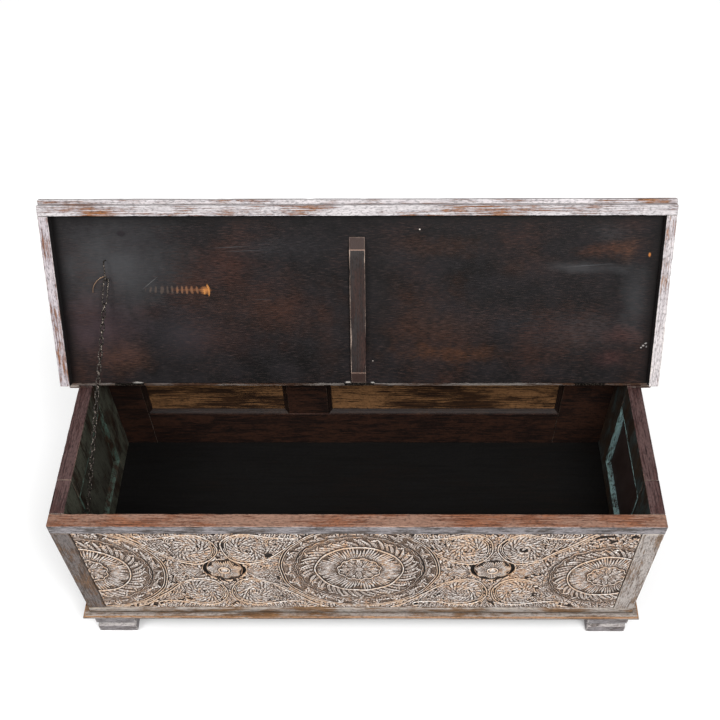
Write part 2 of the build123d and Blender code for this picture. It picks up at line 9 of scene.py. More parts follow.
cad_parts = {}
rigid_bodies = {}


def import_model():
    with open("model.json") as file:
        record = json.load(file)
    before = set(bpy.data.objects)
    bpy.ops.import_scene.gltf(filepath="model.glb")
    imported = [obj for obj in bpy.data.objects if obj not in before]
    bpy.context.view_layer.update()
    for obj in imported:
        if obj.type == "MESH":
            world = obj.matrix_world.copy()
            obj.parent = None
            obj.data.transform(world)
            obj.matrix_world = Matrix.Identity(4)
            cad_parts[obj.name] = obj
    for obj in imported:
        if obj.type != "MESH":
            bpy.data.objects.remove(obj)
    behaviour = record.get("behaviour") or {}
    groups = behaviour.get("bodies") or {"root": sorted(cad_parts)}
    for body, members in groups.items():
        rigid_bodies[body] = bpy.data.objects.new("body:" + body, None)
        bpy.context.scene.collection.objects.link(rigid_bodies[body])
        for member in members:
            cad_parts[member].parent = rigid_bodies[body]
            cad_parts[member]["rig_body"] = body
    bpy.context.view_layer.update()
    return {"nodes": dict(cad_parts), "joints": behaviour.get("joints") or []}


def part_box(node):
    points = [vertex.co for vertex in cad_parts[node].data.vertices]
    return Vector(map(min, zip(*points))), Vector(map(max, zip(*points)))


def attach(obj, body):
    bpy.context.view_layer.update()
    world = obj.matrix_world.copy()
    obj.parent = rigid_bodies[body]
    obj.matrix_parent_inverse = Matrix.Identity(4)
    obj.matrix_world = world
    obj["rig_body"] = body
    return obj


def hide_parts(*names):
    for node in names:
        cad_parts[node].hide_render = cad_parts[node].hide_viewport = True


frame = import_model()
bpy.ops.object.select_all(action="DESELECT")

# ---- Studio ----
# A plain white floor that runs out of sight, a soft lamp high on the right, a weaker one on the
# left, and an even white room. The floor is lifted for the camera alone, less near the chest, so
# that its shadow stays.


def linear(colour):
    """Linear RGBA of an sRGB hex colour."""
    parts = [int(colour[k : k + 2], 16) / 255 for k in (1, 3, 5)]
    return [p / 12.92 if p <= 0.04045 else ((p + 0.055) / 1.055) ** 2.4 for p in parts] + [1.0]


def feed(node, values):
    """Sets a node's inputs, or links them to other nodes' outputs."""
    for name, value in values.items():
        if isinstance(value, bpy.types.NodeSocket):
            node.id_data.links.new(value, node.inputs[name])
        else:
            node.inputs[name].default_value = value


def add(tree, kind, values=None, out=0, stops=None, **settings):
    """Adds a shader node with its settings, its ramp's stops and inputs, and gives an output."""
    node = tree.nodes.new("ShaderNode" + kind)
    for name, value in settings.items():
        setattr(node, name, value)
    if stops:
        ramp = node.color_ramp.elements
        while len(ramp) < len(stops):
            ramp.new(0.5)
        for element, (position, colour) in zip(ramp, stops):
            element.position = position
            element.color = linear(colour) if isinstance(colour, str) else [colour] * 3 + [1.0]
    feed(node, values or {})
    return node.outputs[out]


def spread(value, low, high, start=0.0, end=1.0):
    """Runs from start to end, and no further, as a value goes from low to high."""
    return add(value.id_data, "MapRange", {0: value, 1: low, 2: high, 3: start, 4: end})


def new_finish(name):
    """A new material, its node tree and its Principled shader."""
    finish = bpy.data.materials.new(name)
    finish.use_nodes = True
    return finish, finish.node_tree, finish.node_tree.nodes["Principled BSDF"]


bpy.ops.mesh.primitive_plane_add(size=30.0, location=(0, 0, 0))
floor = bpy.context.object
floor.name = "studio_floor"
pale_floor, tree, shader = new_finish("white_painted_floor")
feed(shader, {"Base Color": linear("#e9e9e9"), "Roughness": 0.9, "Specular IOR Level": 0.1})
to_camera = add(tree, "LightPath", out="Is Camera Ray")
place = add(tree, "TexCoord", out="Object")
off_centre = add(tree, "VectorMath", {0: place}, operation="LENGTH", out="Value")
strength = spread(off_centre, 0.6, 1.5, 0.08, 0.42)
lift = add(tree, "Emission", {"Color": linear("#ffffff"), "Strength": strength})
nothing = add(tree, "Emission", {"Strength": 0.0})
lifted = add(tree, "MixShader", {0: to_camera, 1: nothing, 2: lift})
both = add(tree, "AddShader", {0: shader.outputs[0], 1: lifted})
feed(tree.nodes["Material Output"], {"Surface": both})
floor.data.materials.append(pale_floor)

room = bpy.data.worlds.new("white_room")
bpy.context.scene.world = room
room.use_nodes = True
tree = room.node_tree
to_camera = add(tree, "LightPath", out="Is Camera Ray")
through = add(tree, "LightPath", out="Is Transmission Ray")
seen = add(tree, "Math", {0: to_camera, 1: through}, operation="MAXIMUM")
feed(tree.nodes["Background"], {"Color": (1, 1, 1, 1), "Strength": spread(seen, 0.0, 1.0, 0.5)})

for name, place, width, power in (
    ("key_lamp", (1.1, -1.9, 3.4), 1.5, 112.0),
    ("fill_lamp", (-2.0, -1.6, 3.0), 1.6, 62.0),
):
    bpy.ops.object.light_add(type="AREA", location=place)
    lamp = bpy.context.object
    lamp.name = name
    lamp.data.shape = "DISK"
    lamp.data.size = width
    lamp.data.energy = power
    aim = Vector((0, 0, 0.5)) - Vector(place)
    lamp.rotation_euler = aim.to_track_quat("-Z", "Y").to_euler()

# The camera stands high in front of the chest and looks down 53 degrees.
camera_at = (0.07986, -1.51917, 2.56849)
heading, pitch, roll = -0.0155, 0.9244, 0.0122
ahead = Vector((sin(heading) * cos(pitch), cos(heading) * cos(pitch), -sin(pitch)))
level_right = Vector((cos(heading), -sin(heading), 0))
level_down = ahead.cross(level_right)
right = level_right * cos(roll) + level_down * sin(roll)
down = level_down * cos(roll) - level_right * sin(roll)
camera_data = bpy.data.cameras.new("studio_camera")
camera = bpy.data.objects.new("studio_camera", camera_data)
bpy.context.scene.collection.objects.link(camera)
turn = Matrix((right, -down, -ahead)).transposed().to_4x4()
camera.matrix_world = Matrix.Translation(camera_at) @ turn
camera_data.lens = 50.07
camera_data.sensor_width = 36.0
camera_data.shift_x = -0.0291
camera_data.shift_y = 0.0833
bpy.context.scene.camera = camera
bpy.context.scene.view_settings.view_transform = "Standard"

# ---- Front frame: top rail, lower rail and corner posts ----
# Hand-planed hardwood, butted at the corners. The rail's top is bare brown wood polished by hands
# and its face is dark grey wash; the lower rail is streaked ochre, and the posts are grey-brown
# wash. Arrises are rounded and dented.


def ripple(points, length, seed):
    """A smooth random field over the points, about -1 to 1, with waves of the given length."""
    chance = np.random.default_rng(seed)
    total = np.zeros(len(points))
    for _ in range(10):
        way = chance.normal(size=3)
        way *= 2 * pi / (length * chance.uniform(0.6, 1.7)) / np.linalg.norm(way)
        total += np.sin(points @ way + chance.uniform(0, 2 * pi))
    return total / 3.2


def lines_across(low, high, ease, cell):
    """Grid lines from one arris to the other, close together where the arris is rounded."""
    edge = np.array([0.0, 0.3, 0.65, 1.0, 2.2]) * ease
    count = max(1, round((high - low - 4.4 * ease) / cell))
    middle = np.linspace(low + edge[-1], high - edge[-1], count + 1)
    return np.concatenate([low + edge[:-1], middle, high - edge[-2::-1]])


def quads_of(*corners):
    """Four-sided faces from four grids of point numbers."""
    return np.stack([grid.ravel() for grid in corners], 1)


def mesh_object(name, points, faces, finish, marks=None):
    """A smooth-shaded mesh object with its marks: numbers or vectors for each point.

    The mark "plan" is each point's place in the piece as it was laid out.
    """
    mesh = bpy.data.meshes.new(name)
    faces = faces.tolist() if isinstance(faces, np.ndarray) else faces
    mesh.from_pydata(points.tolist(), [], faces)
    for label, values in ({"plan": points} | (marks or {})).items():
        kind, slot = ("FLOAT", "value") if values.ndim == 1 else ("FLOAT_VECTOR", "vector")
        values = values.astype(np.float32).ravel()
        mesh.attributes.new(label, kind, "POINT").data.foreach_set(slot, values)
    mesh.materials.append(finish)
    mesh.shade_smooth()
    piece = bpy.data.objects.new(name, mesh)
    bpy.context.scene.collection.objects.link(piece)
    return piece


def planed_board(nodes, finish, ease, worn=0.0007, name=None, back_to=None, bevel=None, box=None):
    """A board in the place of CAD nodes, with rounded, dented arrises and slightly hollow faces.

    back_to turns a tilted node square before its box is read; the board is turned back after it.
    Its marks are "arris", 1 at an arris, "lie", the way the face looks, and "plan", its place
    before it is turned back. bevel reshapes its points, and box stands in for the nodes' own.
    """
    name = name or nodes + "_planed"
    nodes = nodes.split()
    if box is None:
        meshes = [frame["nodes"][node].data for node in nodes]
        corners = np.concatenate([[vertex.co for vertex in mesh.vertices] for mesh in meshes])
        if back_to is not None:
            corners = corners @ np.array(back_to.to_3x3()).T + np.array(back_to.translation)
        box = corners.min(0), corners.max(0)
    low, high = np.array(box[0]), np.array(box[1])
    cell, wear_reach, hollow_length, dent_length = 0.016, 0.006, 0.3, 0.025
    grid = [lines_across(low[k], high[k], ease, cell) for k in range(3)]
    points, faces, start = [], [], 0
    for k in range(3):
        i, j = (k + 1) % 3, (k + 2) % 3
        across, along = np.meshgrid(grid[i], grid[j], indexing="ij")
        rows, columns = across.shape
        number = np.arange(rows * columns).reshape(rows, columns)
        quads = quads_of(number[:-1, :-1], number[1:, :-1], number[1:, 1:], number[:-1, 1:])
        for level, order in ((low[k], -1), (high[k], 1)):
            side = np.zeros((across.size, 3))
            side[:, i], side[:, j], side[:, k] = across.ravel(), along.ravel(), level
            points.append(side)
            faces.append(quads[:, ::order] + start)
            start += len(side)
    points, faces = np.concatenate(points), np.concatenate(faces)
    microns = np.round(points * 1e6).astype(int)
    _, first, same = np.unique(microns, axis=0, return_index=True, return_inverse=True)
    points, faces = points[first], same.reshape(-1)[faces]
    from_arris = np.sort(np.minimum(points - low, high - points), axis=1)[:, 1]
    core = np.clip(points, low + ease, high - ease)
    out = points - core
    out /= np.linalg.norm(out, axis=1)[:, None]
    near = np.exp(-from_arris / wear_reach)
    seed = sum(map(ord, name))
    hollow = 0.35 * worn * (1 + ripple(points, hollow_length, seed))
    dents = worn * near * np.clip(ripple(points, dent_length, seed + 1) - 0.5, 0, 2) * 2.0
    points = core + out * (ease - np.clip(hollow + dents, 0, None))[:, None]
    plan = points.copy()
    if bevel is not None:
        points = bevel(points, low, high)
    if back_to is not None:
        forth = back_to.inverted()
        points = points @ np.array(forth.to_3x3()).T + np.array(forth.translation)
    piece = mesh_object(name, points, faces, finish, {"arris": near, "lie": out, "plan": plan})
    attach(piece, frame["nodes"][nodes[0]]["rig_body"])
    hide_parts(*nodes)
    return piece


def weigh(value, factor, more=0.0):
    """A value times a factor, plus more."""
    return add(value.id_data, "Math", {0: value, 1: factor, 2: more}, operation="MULTIPLY_ADD")


def blend(share, colour, other, **settings):
    """Goes from one colour to another as the share goes from 0 to 1."""
    other = linear(other) if isinstance(other, str) else other
    return add(colour.id_data, "MixRGB", {0: share, 1: colour, 2: other}, **settings)


def ramp(value, stops):
    """Colours at stops along a value."""
    return add(value.id_data, "ValToRGB", {"Fac": value}, stops=stops)


def noise(place, scale, detail=2.0, roughness=0.5):
    """Cloudy noise over a place."""
    values = {"Vector": place, "Scale": scale, "Detail": detail, "Roughness": roughness}
    return add(place.id_data, "TexNoise", values)


def scaled(place, scale):
    """A place with its axes scaled."""
    return add(place.id_data, "Mapping", {"Vector": place, "Scale": scale})


def mark(tree, name, out="Fac"):
    """A mark that the mesh carries at each point."""
    return add(tree, "Attribute", out=out, attribute_name=name)


def coat_of(wood, coat, cover, rubbed, rub, streak, patch, along="X"):
    """The settings of a worn_coat; each pair of colours stands in one text."""
    pair = dict(wood=wood.split(), coat=coat.split())
    return dict(pair, cover=cover, rubbed=rubbed, rub=rub, streak=streak, patch=patch, along=along)


def worn_coat(tree, wood, coat, cover, rubbed, rub, streak, patch, along):
    """Colour and height of old wood whose coat has worn off along the grain and at its arrises.

    wood and coat are each a dark and a pale colour, cover the share still coated, rubbed the colour
    of a bared arris. streak is the grain's length and width and patch a worn patch's size, in mm.
    """

    def by_axis(grainwise, crosswise):
        return [grainwise if along == way else crosswise for way in "XYZ"]

    place = mark(tree, "plan", "Vector")
    stretch = by_axis(1000 / streak[0], 1000 / streak[1])
    grain = noise(scaled(place, stretch), 1.0, 5.0, 0.65)
    fine = noise(scaled(place, [part * 3.1 for part in stretch]), 1.0, 3.0, 0.7)
    patches = noise(scaled(place, by_axis(0.35 * 1000 / patch, 1000 / patch)), 1.0, 7.0, 0.66)
    timber = ramp(grain, ((0.38, wood[0]), (0.62, wood[1])))
    paint = ramp(weigh(grain, 0.9, patches), ((0.82, coat[0]), (1.08, coat[1])))
    # What is left of the coat: patches, grain and fine streaks together, against the share kept.
    kept = weigh(fine, 0.7, weigh(grain, 0.8, patches))
    middle = 1.25 + (0.5 - cover) * 0.6
    left = spread(kept, middle - 0.035, middle + 0.035)
    colour = blend(left, timber, paint)
    handled = weigh(patches, 1.4, mark(tree, "arris"))
    bare = spread(weigh(fine, 0.8, handled), 2.15 - rub, 2.35 - rub, 0.0, 0.85)
    colour = blend(bare, colour, rubbed)
    shade = ramp(fine, ((0.32, 0.55), (0.62, 1.0)))
    colour = blend(0.8, colour, shade, blend_type="MULTIPLY")
    # Pits and flecks two or three millimetres wide, where the coat has chipped or dirt has stayed.
    specks = noise(scaled(place, by_axis(110, 300)), 1.0, 2.0, 0.6)
    specks = ramp(specks, ((0.36, 0.3), (0.48, 0.85), (0.62, 1.0)))
    colour = blend(0.72, colour, specks, blend_type="MULTIPLY")
    return colour, weigh(fine, 0.8, kept)


def facing(tree, way):
    """1 on the faces that look the given way, from the lie mark."""
    lie = mark(tree, "lie", "Vector")
    part = add(tree, "VectorMath", {0: lie, 1: way}, operation="DOT_PRODUCT", out="Value")
    return spread(part, 0.35, 0.75)


def finish_wood(name, base, faces=(), rough=0.6, shine=0.3):
    """A wood material from a worn_coat's settings, with others on faces that look certain ways."""
    finish, tree, shader = new_finish(name)
    colour, height = worn_coat(tree, **base)
    for way, settings in faces:
        there, high = worn_coat(tree, **settings)
        share = facing(tree, way)
        colour = blend(share, colour, there)
        height = add(tree, "Mix", {0: share, 2: height, 3: high})
    # Open grain and the edges of paint flakes stand about half a millimetre apart in height.
    raised = add(tree, "Bump", {"Strength": 0.4, "Distance": 0.0012, "Height": height})
    values = {"Base Color": colour, "Roughness": rough, "Specular IOR Level": shine}
    feed(shader, values | {"Normal": raised})
    return finish


handled_brown = coat_of("#5a3422 #a2694a", "#6e4f45 #92705f", 0.5, "#a98570", 0.2, (80, 2.6), 60)
grey_wash = coat_of("#332d2b #6a5a50", "#4a464a #979193", 0.58, "#c0b7b1", 0.25, (60, 3), 32)
rail_wood = finish_wood("handled_rail_with_grey_wash", grey_wash, [((0, 0, 1), handled_brown)])
planed_board("front_top_rail", rail_wood, ease=0.0025, name="front_rail_planed")
streaked_ochre = coat_of("#6b4e35 #a07c58", "#7d746f #b8afa8", 0.5, "#bfb09c", 0.15, (120, 2.5), 40)
lower_rail_wood = finish_wood("streaked_ochre_lower_rail", streaked_ochre)
planed_board("front_bottom_rail", lower_rail_wood, ease=0.0015, name="front_lower_rail_planed")
post_coat = coat_of("#3d2c21 #86603c", "#463f3e #716865", 0.55, "#8d7a68", 0.2, (60, 4), 30, "Z")
post_wood = finish_wood("grey_brown_washed_post", post_coat)
planed_board("front_left_post", post_wood, ease=0.003)
pale_coat = coat_of("#6b5543 #a58363", "#7d7471 #b3aaa4", 0.6, "#cdc2b6", 0.35, (60, 4), 30, "Z")
pale_post_wood = finish_wood("limed_post", pale_coat)
planed_board("front_right_post", pale_post_wood, ease=0.003)

# ---- Carved front board ----
# One wide hardwood plank, cut by chisel about 6 mm deep: a round medallion, half of another at each
# end, and two small flowers, each between four leaf-filled drops, over a leafy ground.
board_low, board_high = (np.array(c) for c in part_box("front_board"))
face_y = board_low[1]
x_low, x_high = board_low[0] * 1000, board_high[0] * 1000
level_z = 0.353  # height of the middle medallion's centre, from which the drawing's heights count
v_low, v_high = (board_low[2] - level_z) * 1000, (board_high[2] - level_z) * 1000
cell = 1.16
across = np.linspace(x_low, x_high, round((x_high - x_low) / cell) + 1)
tall = np.linspace(v_low, v_high, round((v_high - v_low) / cell) + 1)
along_x, up_z = np.meshgrid(across, tall)
# Hand work is never quite true, so the drawing wavers by about a millimetre.
waver, wave_length = 1.3, 70.0
board_points = np.stack([along_x.ravel(), up_z.ravel(), np.zeros(along_x.size)], 1)
U = along_x + waver * ripple(board_points, wave_length, 21).reshape(along_x.shape)
V = up_z + waver * ripple(board_points, wave_length, 22).reshape(along_x.shape)
ground, foot = -6.5, -5.5  # heights over the uncut face of the sunk ground and of a leaf's edge
tops = np.full(U.shape, ground)  # height of every point over the uncut face, mm
handled = np.zeros(U.shape)  # 1 where a bead stands
chisel = np.random.default_rng(7)


def stray(reach):
    """How far a hand-set cut misses its place."""
    return chisel.uniform(-reach, reach)


def around(x, z, reach):
    """The part of the board within reach of a place."""
    rows = slice(np.searchsorted(tall, z - reach), np.searchsorted(tall, z + reach))
    return rows, slice(np.searchsorted(across, x - reach), np.searchsorted(across, x + reach))


def leaf(x, z, way, length, width, top, bend=0.0, lobe=0.0):
    """Cuts a leaf: pointed, veined along it, bent to a side, and lobed if it has a lobe length."""
    part = around(x, z, length * 1.25)
    u, v = U[part] - x, V[part] - z
    s = u * cos(way) + v * sin(way)
    run = np.clip(s / length, 0, 1)
    t = v * cos(way) - u * sin(way) - bend * length * run**2
    notch = np.sin(2 * pi * (s - 0.7 * np.abs(t)) / lobe) if lobe else 0 * s
    wide = np.maximum(width / 2 * np.sin(pi * run**0.8) ** 0.7 * (1 + 0.2 * notch), 1e-6)
    side = np.clip(np.abs(t) / wide, 0, 1)
    cut = foot + (top - foot) * (1 - side**2.5) * (0.7 + 0.3 * np.sin(pi * run**1.3))
    veins = 0.45 * (1 + np.cos(2 * pi * t / 4.4)) * (run < 0.85)
    cut -= veins + 1.1 * np.clip(-notch, 0, 1) * np.clip(side * 1.6, 0, 1)
    tops[part] = np.where((side < 1) & (s > 0) & (s < length), cut, tops[part])


def boss(off, half, foot, rise):
    """Leaves a rounded top where off, the distance from a point or a line, is under half."""
    arch = np.sqrt(np.clip(1 - (off / half) ** 2, 0, 1))
    tops[:] = np.where(off < half, foot + rise * arch, tops)


def bead(off, half, top):
    """Leaves a rounded bead where off, the distance from its line, is under half its width."""
    groove, side = -6.2, -5.8
    handled[off < half + 1.0] = 1.0
    tops[:] = np.where((off >= half) & (off < half + 1.6), np.minimum(tops, groove), tops)
    boss(off, half, side, top - side)


def smooth_line(corners):
    """Points along a smooth line through the corners."""
    ends = np.vstack([2 * corners[0] - corners[1], corners, 2 * corners[-1] - corners[-2]])
    t = np.linspace(0, 1, 10, endpoint=False)[:, None]
    line = [corners[:1]]
    for k in range(1, len(ends) - 2):
        p0, p1, p2, p3 = ends[k - 1 : k + 3]
        bend = (2 * p0 - 5 * p1 + 4 * p2 - p3) * t**2 + (3 * p1 - p0 - 3 * p2 + p3) * t**3
        line.append(0.5 * (2 * p1 + (p2 - p0) * t + bend))
    return np.vstack(line[1:] + [corners[-1:]])


def medallion(x, z, size, rim=True):
    """Cuts a medallion: a flower, feathered fans, leaning flutes and a leafy rim, between beads."""
    reach = 203 if rim else 160
    tops[np.hypot(U - x, V - z) < reach * size] = ground + 2.2

    def cut(radius, a, way, length, width, top, bend=0.0, lobe=0.0):
        place = (x + size * radius * cos(a), z + size * radius * sin(a))
        leaf(*place, a + way, size * length, size * width, top + stray(0.4), bend, lobe)

    for k in range(50):
        cut(164 + stray(5), 2 * pi * k / 50, stray(1.2), 28, 9, -1.8, stray(0.4))
    for k in range(22):
        a = 2 * pi * k / 22 + stray(0.03)
        cut(160, a, 1.0 + stray(0.15), 52, 19, -0.8, 0.42, 8.5)
        cut(161, a + 0.12, 0.1, 33, 12, -0.9, -0.45, 7.0)
        cut(174, a + 0.04, 0.7, 20, 7, -0.3, 0.3)
        cut(192, a + 0.06, 2.0, 20, 9, -0.6, 0.3)
    for k in range(48):
        cut(113, 2 * pi * k / 48, 0.5 + stray(0.12), 44, 15 + stray(3), -0.7, 0.35, 7.0 * (k % 2))
    for k in range(24):
        cut(132 + stray(6), 2 * pi * k / 24 + 0.06, -0.5 + stray(0.3), 24, 10, -0.7, -0.4, 6.0)
    for k in range(14):
        cut(74, 2 * pi * (k + 0.5) / 14 + 0.2, 0.0, 30, 9, -1.0, 0.0, 6.0)
    for k in range(12):
        a = 2 * pi * k / 12 + 0.2
        for lean, length in ((0.85, 34), (0.5, 44), (0.2, 49)):
            for lean in (lean, -lean):
                cut(58, a + lean * 0.13, lean * 0.95, length, 9.5, -0.7, -lean * 0.5)
        cut(58, a, 0.0, 50, 9, -0.5)
    for k in range(8):
        cut(12, 2 * pi * (k + 0.5) / 8, 0.0, 39, 27, -1.6)
    for k in range(8):
        a = 2 * pi * k / 8
        cut(10, a, 0.0, 40, 24, -0.5)
        for lean in (-0.3, 0.0, 0.3):
            cut(17, a + lean * 0.3, lean * 0.5, 27, 5, 0.0)
    r = np.hypot(U - x, V - z) / size
    a = np.arctan2(V - z, U - x)
    beads = [(52, 1.9, -1.6, 2.2, 11), (109, 2.3, -0.6, 0.6, 5), (157, 1.4, -2.8, 1.6, 23)]
    if rim:
        beads += [(193.5, 1.5, -1.8, 0.5, 9), (200, 1.6, -1.4, 0.5, 7)]
    for radius, half, top, wave, waves in beads:
        bead(np.abs(r - radius - wave * np.sin(a * waves)) * size, half, top)
    # A wider, deeper groove outside the flutes throws the ring's shadow.
    off = r - 162
    trench = -9.0 * np.exp(-((off / 3.0) ** 2)) * (0.6 + 0.4 * np.sin(a * 3 + 1))
    tops[:] = np.where(np.abs(off) < 7, np.minimum(tops, trench - 0.8 - 2 * (trench > -2)), tops)
    boss(r, 10.5, -4.0, 3.8)


def drops(x, z):
    """Cuts the four drops about a flower, each the mirror of its neighbours."""
    quarters = [(mx, mz) for mx in (1, -1) for mz in (1, -1)]
    for mx, mz in quarters:

        def cut(a, b, way, length, width, top, bend=0.0, lobe=0.0):
            place, way = (x + mx * a, z + mz * b), np.arctan2(mz * sin(way), mx * cos(way))
            leaf(*place, way, length, width, top + stray(0.4), bend * mx * mz, lobe)

        for f in np.linspace(0, 1, 6):
            cut(54 + 5 * f, -6 + 14 * f, 0.02 + 0.75 * f, 60 - 30 * f, 10, -0.9, 0.12)
        for f in np.linspace(0, 1, 6):
            cut(92 + 40 * f, -2 + 8 * f, 0.75 - 0.25 * f, 32, 9.5, -0.8, -0.35, 7.0)
        for k in range(5):
            cut(128 - 4 * k, 24 + 9 * k, 2.6 - 0.1 * k, 24, 9, -0.9, 0.3, 6.0)
        for f in np.linspace(0, 1, 10):
            cut(192 - 96 * f, 158 - 66 * f, -2.3 - 0.25 * f, 27 + 6 * f, 10, -0.8, 0.35, 7.0)
        for f in np.linspace(0, 1, 7):
            cut(176 - 56 * f, 152 - 12 * f, -2.9, 26, 9.5, -0.9, -0.3, 7.0)
        # Round the bulb: a crest of curved ribs, and within it a leaf that curls to the middle.
        for a in np.arange(22) * 2 * pi / 22:
            cut(65 + 50 * cos(a), 109 + 60 * sin(a), a + pi - 0.8, 30, 9.5, -0.7, 0.4)
        for a in np.arange(12) * 2 * pi / 12:
            cut(67 + 32 * cos(a), 109 + 40 * sin(a), a + pi - 1.15, 28, 10, -0.6, 0.5, 6.5)
        for a in np.arange(6) * 2 * pi / 6 + 0.4:
            cut(68 + 15 * cos(a), 107 + 19 * sin(a), a + pi - 1.3, 20, 9, -0.4, 0.5)
    # Each drop's two beads run down its tail, round its bulb and back into a curl.
    outer = [(252, 193), (228, 180), (205, 159), (184, 137), (162, 113), (130, 77), (101, 50)]
    outer += [(64, 38), (33, 50), (14, 78), (6, 110), (12, 143), (33, 170), (64, 180), (100, 173)]
    outer += [(130, 164), (160, 160), (182, 163), (196, 173), (193, 184), (182, 182)]
    inner = [(240, 176), (208, 149), (180, 121), (152, 91), (128, 66), (100, 55), (66, 48), (38, 59)]
    inner += [(22, 84), (16, 110), (22, 139), (40, 161), (64, 170), (92, 168), (113, 158), (122, 146)]
    inner += [(117, 137), (109, 141)]
    for half, top, corners in ((2.0, -0.8, outer), (1.4, -1.4, inner)):
        off = np.full(U.shape, 99.0)
        for mx, mz in quarters:
            line = smooth_line(np.array(corners, float) * (mx, mz) + (x, z))
            for (x0, z0), (x1, z1) in zip(line[:-1], line[1:]):
                span = np.hypot(x1 - x0, z1 - z0)
                part = around((x0 + x1) / 2, (z0 + z1) / 2, span / 2 + 9)
                u, v = U[part] - x0, V[part] - z0
                t = np.clip((u * (x1 - x0) + v * (z1 - z0)) / span**2, 0, 1)
                off[part] = np.minimum(off[part], np.hypot(u - t * (x1 - x0), v - t * (z1 - z0)))
        bead(off, half, top)


def flower(x, z):
    """Cuts a small flower of ribbed petals, with a deep cut down each side of it."""
    r, a = np.hypot(U - x, V - z), np.arctan2(V - z, U - x)
    tops[r < 52] = ground
    for k in range(7):
        for lean, length in ((0.8, 24), (0.5, 28), (0.22, 31), (0.0, 32)):
            for lean in (lean, -lean):
                way = 2 * pi * (k + 0.25) / 7 + lean * 0.4
                start = (x + 14 * cos(way), z + 14 * sin(way))
                leaf(*start, way + lean * 0.4, length, 6.5, -0.5 + stray(0.4), -lean * 0.4)
    for middle, reach in ((pi, 0.95), (0.25, 0.85)):
        aside = np.abs((a - middle + pi) % (2 * pi) - pi)
        deep = np.abs(r - 50) < 4.8 * np.clip(1 - (aside / reach) ** 2, 0, 1) ** 0.5
        tops[:] = np.where(deep, -13.0, tops)
    bead(np.abs(r - 13), 2.2, -0.4)
    boss(r, 8.5, -3.5, 3.4)


def softened(field, passes):
    """The field with every point drawn towards its neighbours."""
    for _ in range(passes):
        wide = np.pad(field, 1, mode="edge")
        beside = wide[:-2, 1:-1] + wide[2:, 1:-1] + wide[1:-1, :-2] + wide[1:-1, 2:]
        field = 0.5 * field + 0.125 * beside
    return field


# First the ground, leafy everywhere, and two rows of leaves above and below the drops.
for k in range(4300):
    place = (chisel.uniform(x_low, x_high), chisel.uniform(v_low, v_high))
    way, length, width = stray(pi), 27 + stray(6), 10.5 + stray(2)
    leaf(*place, way, length, width, -1.2 + stray(0.9), stray(0.5), 7.0 * (k % 2))
flowers = ((-336.0, -13.0), (335.0, -13.0))
for x, _ in flowers:
    for k in range(14):
        for mx in (1, -1):
            for mz, level in ((1, v_high), (-1, v_low)):
                foot_x = x + mx * (8 + k * 12.6)
                bend = mx * mz
                way = mz * pi / 2 - 0.7 * bend
                leaf(foot_x, level - mz * 27, way, 22, 10, -0.5 + stray(0.5), 0.35 * bend)
                way = mz * pi / 2 - 1.2 * bend + pi
                leaf(foot_x + mx * 6, level - mz * 9, way, 15, 6, -1.0, 0.3 * bend)
for x, z in flowers:
    drops(x, z)
medallion(2.5, -2.5, 1.0)
medallion(-681.0, -12.0, 1.0)
medallion(624.0, -38.0, 0.9, rim=False)
for x, z in flowers:
    flower(x + 1.0, z + 6.0)
# A narrow sunk margin closes the carving off at the rails and the posts.
from_rails = np.minimum(up_z - v_low, v_high - up_z)
from_posts = np.minimum(along_x - x_low, x_high - along_x)
tops = np.where(np.minimum(from_rails, from_posts) < 2.5, -4.8, tops)
# Long years of hands and washes have softened the cuts and worn some areas lower.
worn_low = 1 + 0.12 * ripple(board_points, 110.0, 23).reshape(U.shape)
tops = np.clip(tops * np.clip(worn_low, 0.8, 1.05), -13.0, 0.0)
tops = softened(tops + 0.12 * ripple(board_points, 5.0, 24).reshape(U.shape), 1)
tops = np.minimum(tops, -0.05)
hollow = softened(tops, 16) - tops
edge = softened(tops, 5) - tops

carved_finish, tree, shader = new_finish("limed_carved_hardwood")
place = add(tree, "TexCoord", out="Object")
height = mark(tree, "height")
keen = mark(tree, "keen")
sunk = mark(tree, "sunk")
# Limewash has stayed in flecks a few millimetres wide, more of it in some hand-sized areas.
flecks = noise(place, 190.0, 3.0, 0.7)
areas = noise(place, 9.0, 4.0, 0.6)
# Raised parts and keen ridges come out paler: lime left on the raised carving, and a painted highlight
# on the ridges.
tone = weigh(keen, 1.3, weigh(height, 0.5))
tone = weigh(areas, 0.5, weigh(flecks, 0.9, tone))
tone = spread(tone, 1.38, 2.28)
hues = [(0.0, "#17110e"), (0.14, "#3a2a20"), (0.28, "#6b5748"), (0.45, "#92867e")]
hues += [(0.62, "#b3aba6"), (0.8, "#dad5d1"), (1.0, "#f6f3f0")]
colour = ramp(tone, hues)
# Arrises rubbed through the lime are ochre-brown wood, more of them in some finger-wide areas.
bared = weigh(areas, 0.8, noise(place, 90.0, 3.0, 0.6))
bared = spread(weigh(keen, 0.9, bared), 1.48, 1.7, 0.0, 0.8)
ochre = ramp(tone, ((0.15, "#3a2415"), (0.4, "#835a36"), (0.65, "#a67545"), (0.9, "#bf9a72")))
colour = blend(bared, colour, ochre)
# Recesses are painted darker, grime with painted shade, and the deepest cuts go near-black, a painted
# shadow.
shade_and_grime = spread(sunk, 0.6, 0.9, 0.0, 0.65)
colour = blend(shade_and_grime, colour, "#2a1e17")
deep = spread(height, 0.0, 0.1, 1.0, 0.0)
colour = blend(deep, colour, "#120d0a")
grit = noise(place, 450.0)
raised = add(tree, "Bump", {"Strength": 0.35, "Distance": 0.001, "Height": grit})
feed(shader, {"Base Color": colour, "Roughness": 0.7, "Specular IOR Level": 0.25, "Normal": raised})

